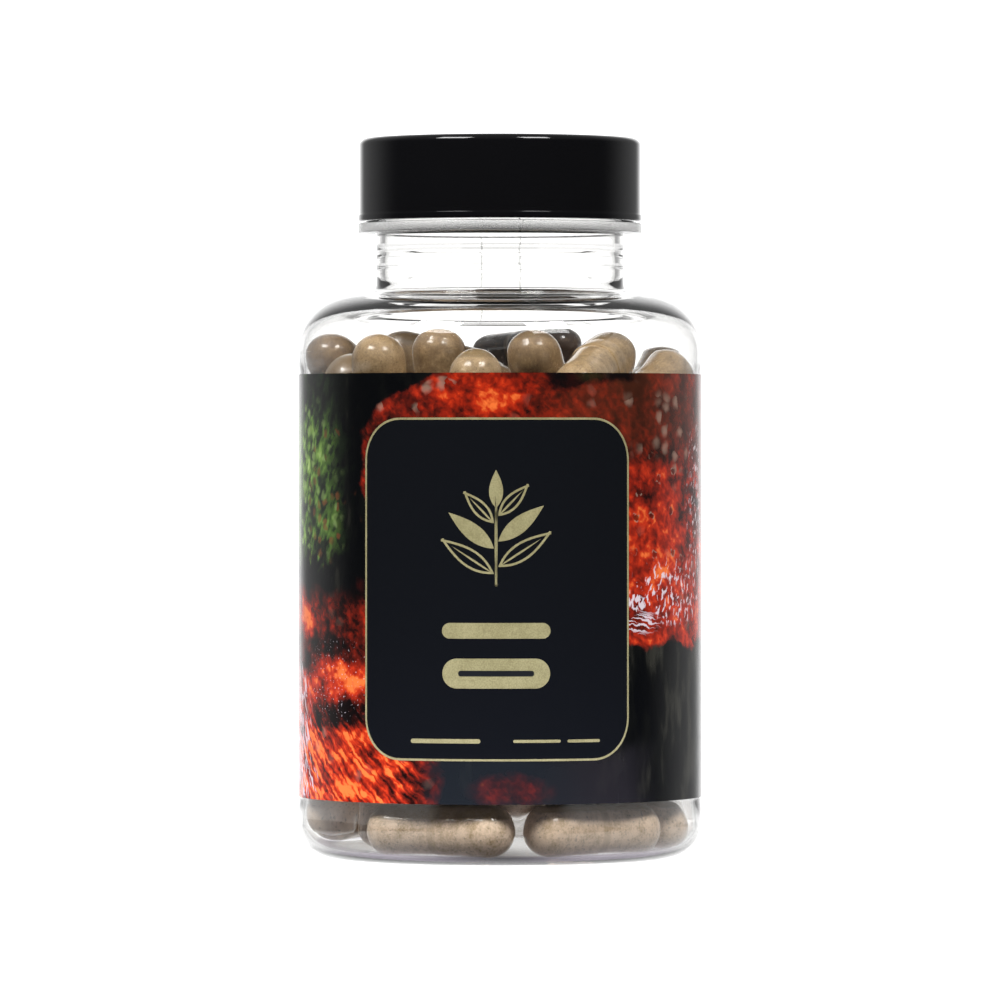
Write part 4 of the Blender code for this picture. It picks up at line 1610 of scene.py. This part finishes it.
@dataclass
class Capsules:
    """All the capsules: the shown ones stand for their CAD nodes, the hidden ones for the plain heap."""

    bottle: Bottle
    shape: CapsuleShape = field(default_factory=CapsuleShape)
    hidden: int = 83
    seed: int = 11
    poured: tuple[float, float, float] = (14.0, 62.0, 20.0)
    growth: tuple[float, ...] = (0.6, 0.75, 0.85, 0.92, 0.97, 1.0, 1.0)
    lowest: float = 1.2
    highest: float = 74.0
    rounds: int = 420
    quick_rounds: int = 60
    flat_lie: float = 0.45
    level_blur: float = 0.8
    lying_fill: Point = (0.45, 0.35)
    standing_fill: Point = (0.70, 0.5)
    hidden_fill: Point = (0.4, 0.5)
    tone_spread: float = 0.24
    # Painted light: capsules at the base get pale powder for the light that the floor throws up.
    painted_floor_light_tone: float = 1.34
    top_tone: float = 0.20
    # Painted shade: darker powder for each millimetre that a shown capsule lies further back.
    painted_rear_shade: float = 0.034
    hidden_tone: Point = (0.2, 0.4)

    def shown(self) -> dict[str, Placement]:
        """Reads the place and direction of each shown capsule from its CAD node."""
        found = {}
        for name, node in sorted(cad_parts.items()):
            if not name.startswith(("capsule_base", "capsule_top")):
                continue
            places = corners(node.data)
            middle = (places.min(axis=0) + places.max(axis=0)) / 2
            one = places[np.argmax(((places - middle) ** 2).sum(axis=1))]
            two = places[np.argmax(((places - one) ** 2).sum(axis=1))]
            axis = (one - two) / np.sqrt(((one - two) ** 2).sum())
            if self._turned(name, (one + two) / 2, axis):
                axis = -axis
            found[name] = Placement((one + two) / 2, axis)
        return found

    def _turned(self, name: str, middle: np.ndarray, axis: np.ndarray) -> bool:
        """Says whether a capsule's cap is at the axis's other end: inwards if it is low, else upwards."""
        ahead = middle + axis * self.shape.half
        behind = middle - axis * self.shape.half
        if name.startswith("capsule_base"):
            return abs(ahead[0]) > abs(behind[0])
        return ahead[2] < behind[2]

    def copy(
        self, source: bpy.types.Mesh, name: str, placement: Placement, tone: float, fill: float
    ) -> bpy.types.Mesh:
        """Copies the shell's mesh to its place.

        Args:
            source: the shell at the origin.
            name: the copy's name.
            placement: where it lies.
            tone: its powder's shade, larger for paler, which for shown capsules also holds painted shade at
                the back and painted light at the base.
            fill: height of its powder above its middle, as a share of what it could be.

        Returns:
            The placed mesh, with its shade and where it is empty as attributes.
        """
        mesh = source.copy()
        mesh.name = name
        turn = Vector(placement.axis).to_track_quat("Z", "Y").to_matrix().to_4x4()
        spin = Matrix.Rotation(math.tau * tone, 4, "Z")
        mesh.transform(Matrix.Translation(Vector(placement.middle) * MM) @ turn @ spin)
        heights = corners(mesh)[:, 2]
        reach = abs(placement.axis[2]) * self.shape.half + self.shape.cap_radius
        level = placement.middle[2] + fill * reach
        write(mesh, "tone", np.full(len(heights), tone))
        write(mesh, "empty", np.clip((heights - level) / self.level_blur + 0.5, 0.0, 1.0))
        return mesh

    def build(self) -> list[bpy.types.Object]:
        """Builds every capsule."""
        material = CapsuleShell().material()
        random = np.random.RandomState(self.seed)
        fine = self.shape.mesh("capsule_shell_fine", 48, 10)
        plain = self.shape.mesh("capsule_shell_plain", 16, 4)
        shown = self.shown()
        made = []
        for name, placement in shown.items():
            chance, level = random.random_sample(2)
            least, more = self.lying_fill if abs(placement.axis[2]) < self.flat_lie else self.standing_fill
            # Painted shade: the further back a shown capsule lies, the darker its powder.
            tone = self.top_tone - self.painted_rear_shade * placement.middle[1]
            # Painted light: paler powder at the base, for the light thrown up from the floor.
            if name.startswith("capsule_base"):
                tone = self.painted_floor_light_tone
            tone = self.tone_spread * chance + tone
            item = shown_as(self.copy(fine, f"hard_{name}", placement, tone, least + more * level))
            made.append(deliver(item, "bottle", material, [name]))
        made.append(self.build_hidden(plain, list(shown.values()), material, random))
        for mesh in (fine, plain):
            bpy.data.meshes.remove(mesh)
        return made

    def build_hidden(
        self,
        plain: bpy.types.Mesh,
        held: Sequence[Placement],
        material: bpy.types.Material,
        random: np.random.RandomState,
    ) -> bpy.types.Object:
        """Packs the capsules behind the label round the shown ones, and joins them in one piece.

        Args:
            plain: the plain shell's mesh.
            held: the shown capsules' places.
            material: the shells' finish.
            random: the source of shades and fillings.

        Returns:
            The joined piece, without the capsules that would stand in the wall.
        """
        packing = Packing(self.shape, self.bottle, held)
        packing.pour(self.hidden, *self.poured, self.seed)
        full = self.shape.cap_radius + 0.01
        rounds = self.rounds
        for share in self.growth:
            packing.settle(rounds, full * share, self.lowest, self.highest)
        parts = []
        bore = self.bottle.radius - self.bottle.wall
        for index, placement in enumerate(packing.placements()):
            ends = [placement.middle + side * self.shape.half * placement.axis for side in (-1.0, 1.0)]
            if max(math.hypot(end[0], end[1]) for end in ends) + self.shape.cap_radius > bore:
                continue
            chance, level = random.random_sample(2)
            tone = self.hidden_tone[0] + self.hidden_tone[1] * chance
            fill = self.hidden_fill[0] + self.hidden_fill[1] * level
            parts.append(shown_as(self.copy(plain, f"hidden_{index}", placement, tone, fill)))
        item = joined(parts, "hidden_capsules")
        return deliver(item, "bottle", material, ["capsule_heap"])


# Studio


@dataclass(frozen=True)
class Softbox:
    """A softbox that faces the bottle, by its direction and its size seen from the bottle."""

    azimuth: float
    elevation: float
    wide: float
    tall: float
    radiance: float


@dataclass
class Studio:
    """A white floor, a bright backdrop, two softboxes and the camera."""

    eye_height: float = 59.0
    distance: float = 1100.0
    aim_height: float = 51.34
    frame_width: float = 143.9
    sight: float = 100.0
    lamp_distance: float = 1.2
    lamp_aim: float = 0.05
    lamps: tuple[Softbox, ...] = (
        Softbox(azimuth=-47.0, elevation=49.0, wide=22.0, tall=15.0, radiance=27.0),
        Softbox(azimuth=35.0, elevation=49.0, wide=19.0, tall=15.0, radiance=27.0),
    )
    room: float = 0.035
    sides: float = 0.34
    ceiling: float = 0.22
    backdrop: float = 1.35
    backdrop_slope: float = 1.75
    floor_glow: float = 1.05
    shade_glow: float = 0.12
    shade_ring: Point = (0.0215, 0.0245)
    floor_reach: float = 12.0
    wall_reach: float = 11.0
    layer: float = 0.0002
    wedge_slope: float = 1.25
    table_radius: float = 0.085
    table_glow: float = 3.8
    table_tint: Colour = (0.78, 0.80, 1.0)
    dim: Colour = (0.05, 0.05, 0.05)

    def build(self) -> None:
        """Builds the studio."""
        self._camera()
        self._world()
        for lamp in self.lamps:
            self._softbox(lamp)
        self._floor()
        self._wall()
        bpy.context.scene.view_settings.view_transform = "Standard"
        bpy.context.scene.cycles.caustics_refractive = False

    def _camera(self) -> None:
        """A long lens at eye level with the label's upper part."""
        bpy.ops.object.select_all(action="DESELECT")
        tilt = math.atan2(self.eye_height - self.aim_height, self.distance)
        place = (0.0, -self.distance * MM, self.eye_height * MM)
        bpy.ops.object.camera_add(location=place, rotation=(math.pi / 2 - tilt, 0.0, 0.0))
        camera = bpy.context.object
        camera.data.lens = camera.data.sensor_width * self.distance / self.frame_width
        camera.data.clip_end = self.sight
        bpy.context.scene.camera = camera

    def _world(self) -> None:
        """A dim room with a white backdrop behind the bottle and a little light from overhead."""
        tree = Tree("studio", world=True)
        side, back, up = tree.split(tree.node("ShaderNodeTexCoord").outputs["Generated"])
        behind = (back - self.backdrop_slope * side.size()).rise(-0.15, 0.62) * up.rise(0.72, 0.60)
        light = self.room + self.sides * back.rise(0.0, 0.6) + self.ceiling * up.rise(0.2, 0.8)
        light = light + self.backdrop * behind
        bpy.context.scene.world = tree.finish({"Color": WHITE, "Strength": light}, "Background")

    def _softbox(self, lamp: Softbox) -> None:
        """Adds one softbox."""
        turn = math.radians(lamp.azimuth)
        rise = math.radians(lamp.elevation)
        way = Vector((math.sin(turn) * math.cos(rise), -math.cos(turn) * math.cos(rise), math.sin(rise)))
        target = Vector((0.0, 0.0, self.lamp_aim))
        bpy.ops.object.select_all(action="DESELECT")
        bpy.ops.object.light_add(type="AREA", location=target + way * self.lamp_distance)
        box = bpy.context.object
        box.rotation_euler = way.to_track_quat("Z", "Y").to_euler()
        box.data.shape = "RECTANGLE"
        box.data.size = 2 * self.lamp_distance * math.tan(math.radians(lamp.wide) / 2)
        box.data.size_y = 2 * self.lamp_distance * math.tan(math.radians(lamp.tall) / 2)
        box.data.energy = lamp.radiance * math.pi * box.data.size * box.data.size_y

    def _disc(self, name: str, radius: float, level: float, material: bpy.types.Material) -> bpy.types.Object:
        """Adds a round sheet of floor.

        Args:
            name: its name.
            radius: its radius, in metres.
            level: its height, in metres.
            material: its finish.

        Returns:
            The sheet, marked as part of the stage.
        """
        bpy.ops.object.select_all(action="DESELECT")
        bpy.ops.mesh.primitive_circle_add(
            vertices=STAGE_SIDES, radius=radius, fill_type="TRIFAN", location=(0, 0, level)
        )
        disc = named(name)
        disc.data.materials.append(material)
        disc.visible_glossy = False
        disc.visible_shadow = False
        return disc

    def _floor(self) -> None:
        """The white floor that is seen, and the light that it and its surroundings throw back."""
        seen = self._disc("studio_floor", self.floor_reach, 0.0, self._seen_floor())
        seen.visible_diffuse = False
        seen.visible_transmission = False
        far = self._disc("studio_bounce_far", self.floor_reach, -2 * self.layer, self._far_bounce())
        far.visible_camera = False
        near = self._disc("studio_bounce_near", self.table_radius, -self.layer, self._near_bounce())
        near.visible_camera = False
        near.visible_transmission = False

    def _wall(self) -> None:
        """A plain pale wall all round, which only closes the view behind the floor."""
        bpy.ops.object.select_all(action="DESELECT")
        bpy.ops.mesh.primitive_cylinder_add(
            vertices=STAGE_SIDES, radius=self.wall_reach, depth=2 * self.wall_reach, end_fill_type="NOTHING"
        )
        wall = named("studio_wall")
        tree = self._unlit("studio_wall_white")
        white = tree.mix(tree.grain(tree.place(), 3.0, 2.0), (0.99, 0.99, 0.99), WHITE)
        wall.data.materials.append(self._glowing(tree, white, self.floor_glow, white, 0.9))
        wall.visible_diffuse = False
        wall.visible_glossy = False
        wall.visible_transmission = False
        wall.visible_shadow = False

    def _unlit(self, name: str) -> Tree:
        """A material that glows but isn't sampled as a lamp."""
        tree = Tree(name)
        tree.owner.cycles.emission_sampling = "NONE"
        return tree

    def _glowing(
        self,
        tree: Tree,
        light: object,
        strength: float,
        paint: object = BLACK,
        roughness: float = 1.0,
        shine: float = 0.0,
    ) -> bpy.types.Material:
        """Finishes a sheet of the stage.

        Args:
            tree: its material's tree.
            light: colour of its glow.
            strength: strength of its glow.
            paint: its own colour.
            roughness: its roughness.
            shine: its specular level.

        Returns:
            The material.
        """
        return tree.finish(
            {
                "Base Color": paint,
                "Roughness": roughness,
                "Emission Color": light,
                "Emission Strength": strength,
                "Specular IOR Level": shine,
            }
        )

    def _seen_floor(self) -> bpy.types.Material:
        """White paper that glows, with a soft shade where the bottle stands."""
        tree = self._unlit("studio_white")
        paper = tree.grain(tree.place(), 30.0, 2.0)
        grey = self.shade_glow / self.floor_glow
        white = tree.mix(paper, (0.98, 0.98, 0.98), WHITE)
        lit = tree.scalar("LENGTH", tree.place()).rise(*self.shade_ring)
        light = tree.mix(lit, (grey, grey, grey), white)
        paint = tree.mix(paper, (0.50, 0.50, 0.50), (0.52, 0.52, 0.52))
        return self._glowing(tree, light, self.floor_glow, paint, 0.9, 0.2)

    def _far_bounce(self) -> bpy.types.Material:
        """Light from the floor far away, dark towards the front."""
        tree = self._unlit("studio_far_bounce")
        side, back, _ = tree.split(tree.place())
        wedge = (0.0 - back - self.wedge_slope * side.size()).rise(0.0, 0.03)
        return self._glowing(tree, tree.mix(wedge, WHITE, self.dim), self.floor_glow)

    def _near_bounce(self) -> bpy.types.Material:
        """Light from the table round the bottle."""
        tree = Tree("studio_near_bounce")
        lit = tree.scalar("LENGTH", tree.place()).rise(self.table_radius, 0.6 * self.table_radius)
        return self._glowing(tree, tree.mix(lit, self.dim, self.table_tint), self.table_glow)


def main() -> None:
    """Builds the studio and then each sub-assembly in order."""
    logging.basicConfig(level=logging.INFO, format="%(message)s")
    Studio().build()
    bottle = Bottle()
    bottle.build()
    Cap().build()
    Label().build()
    Capsules(bottle).build()


if __name__ == "__main__":
    main()
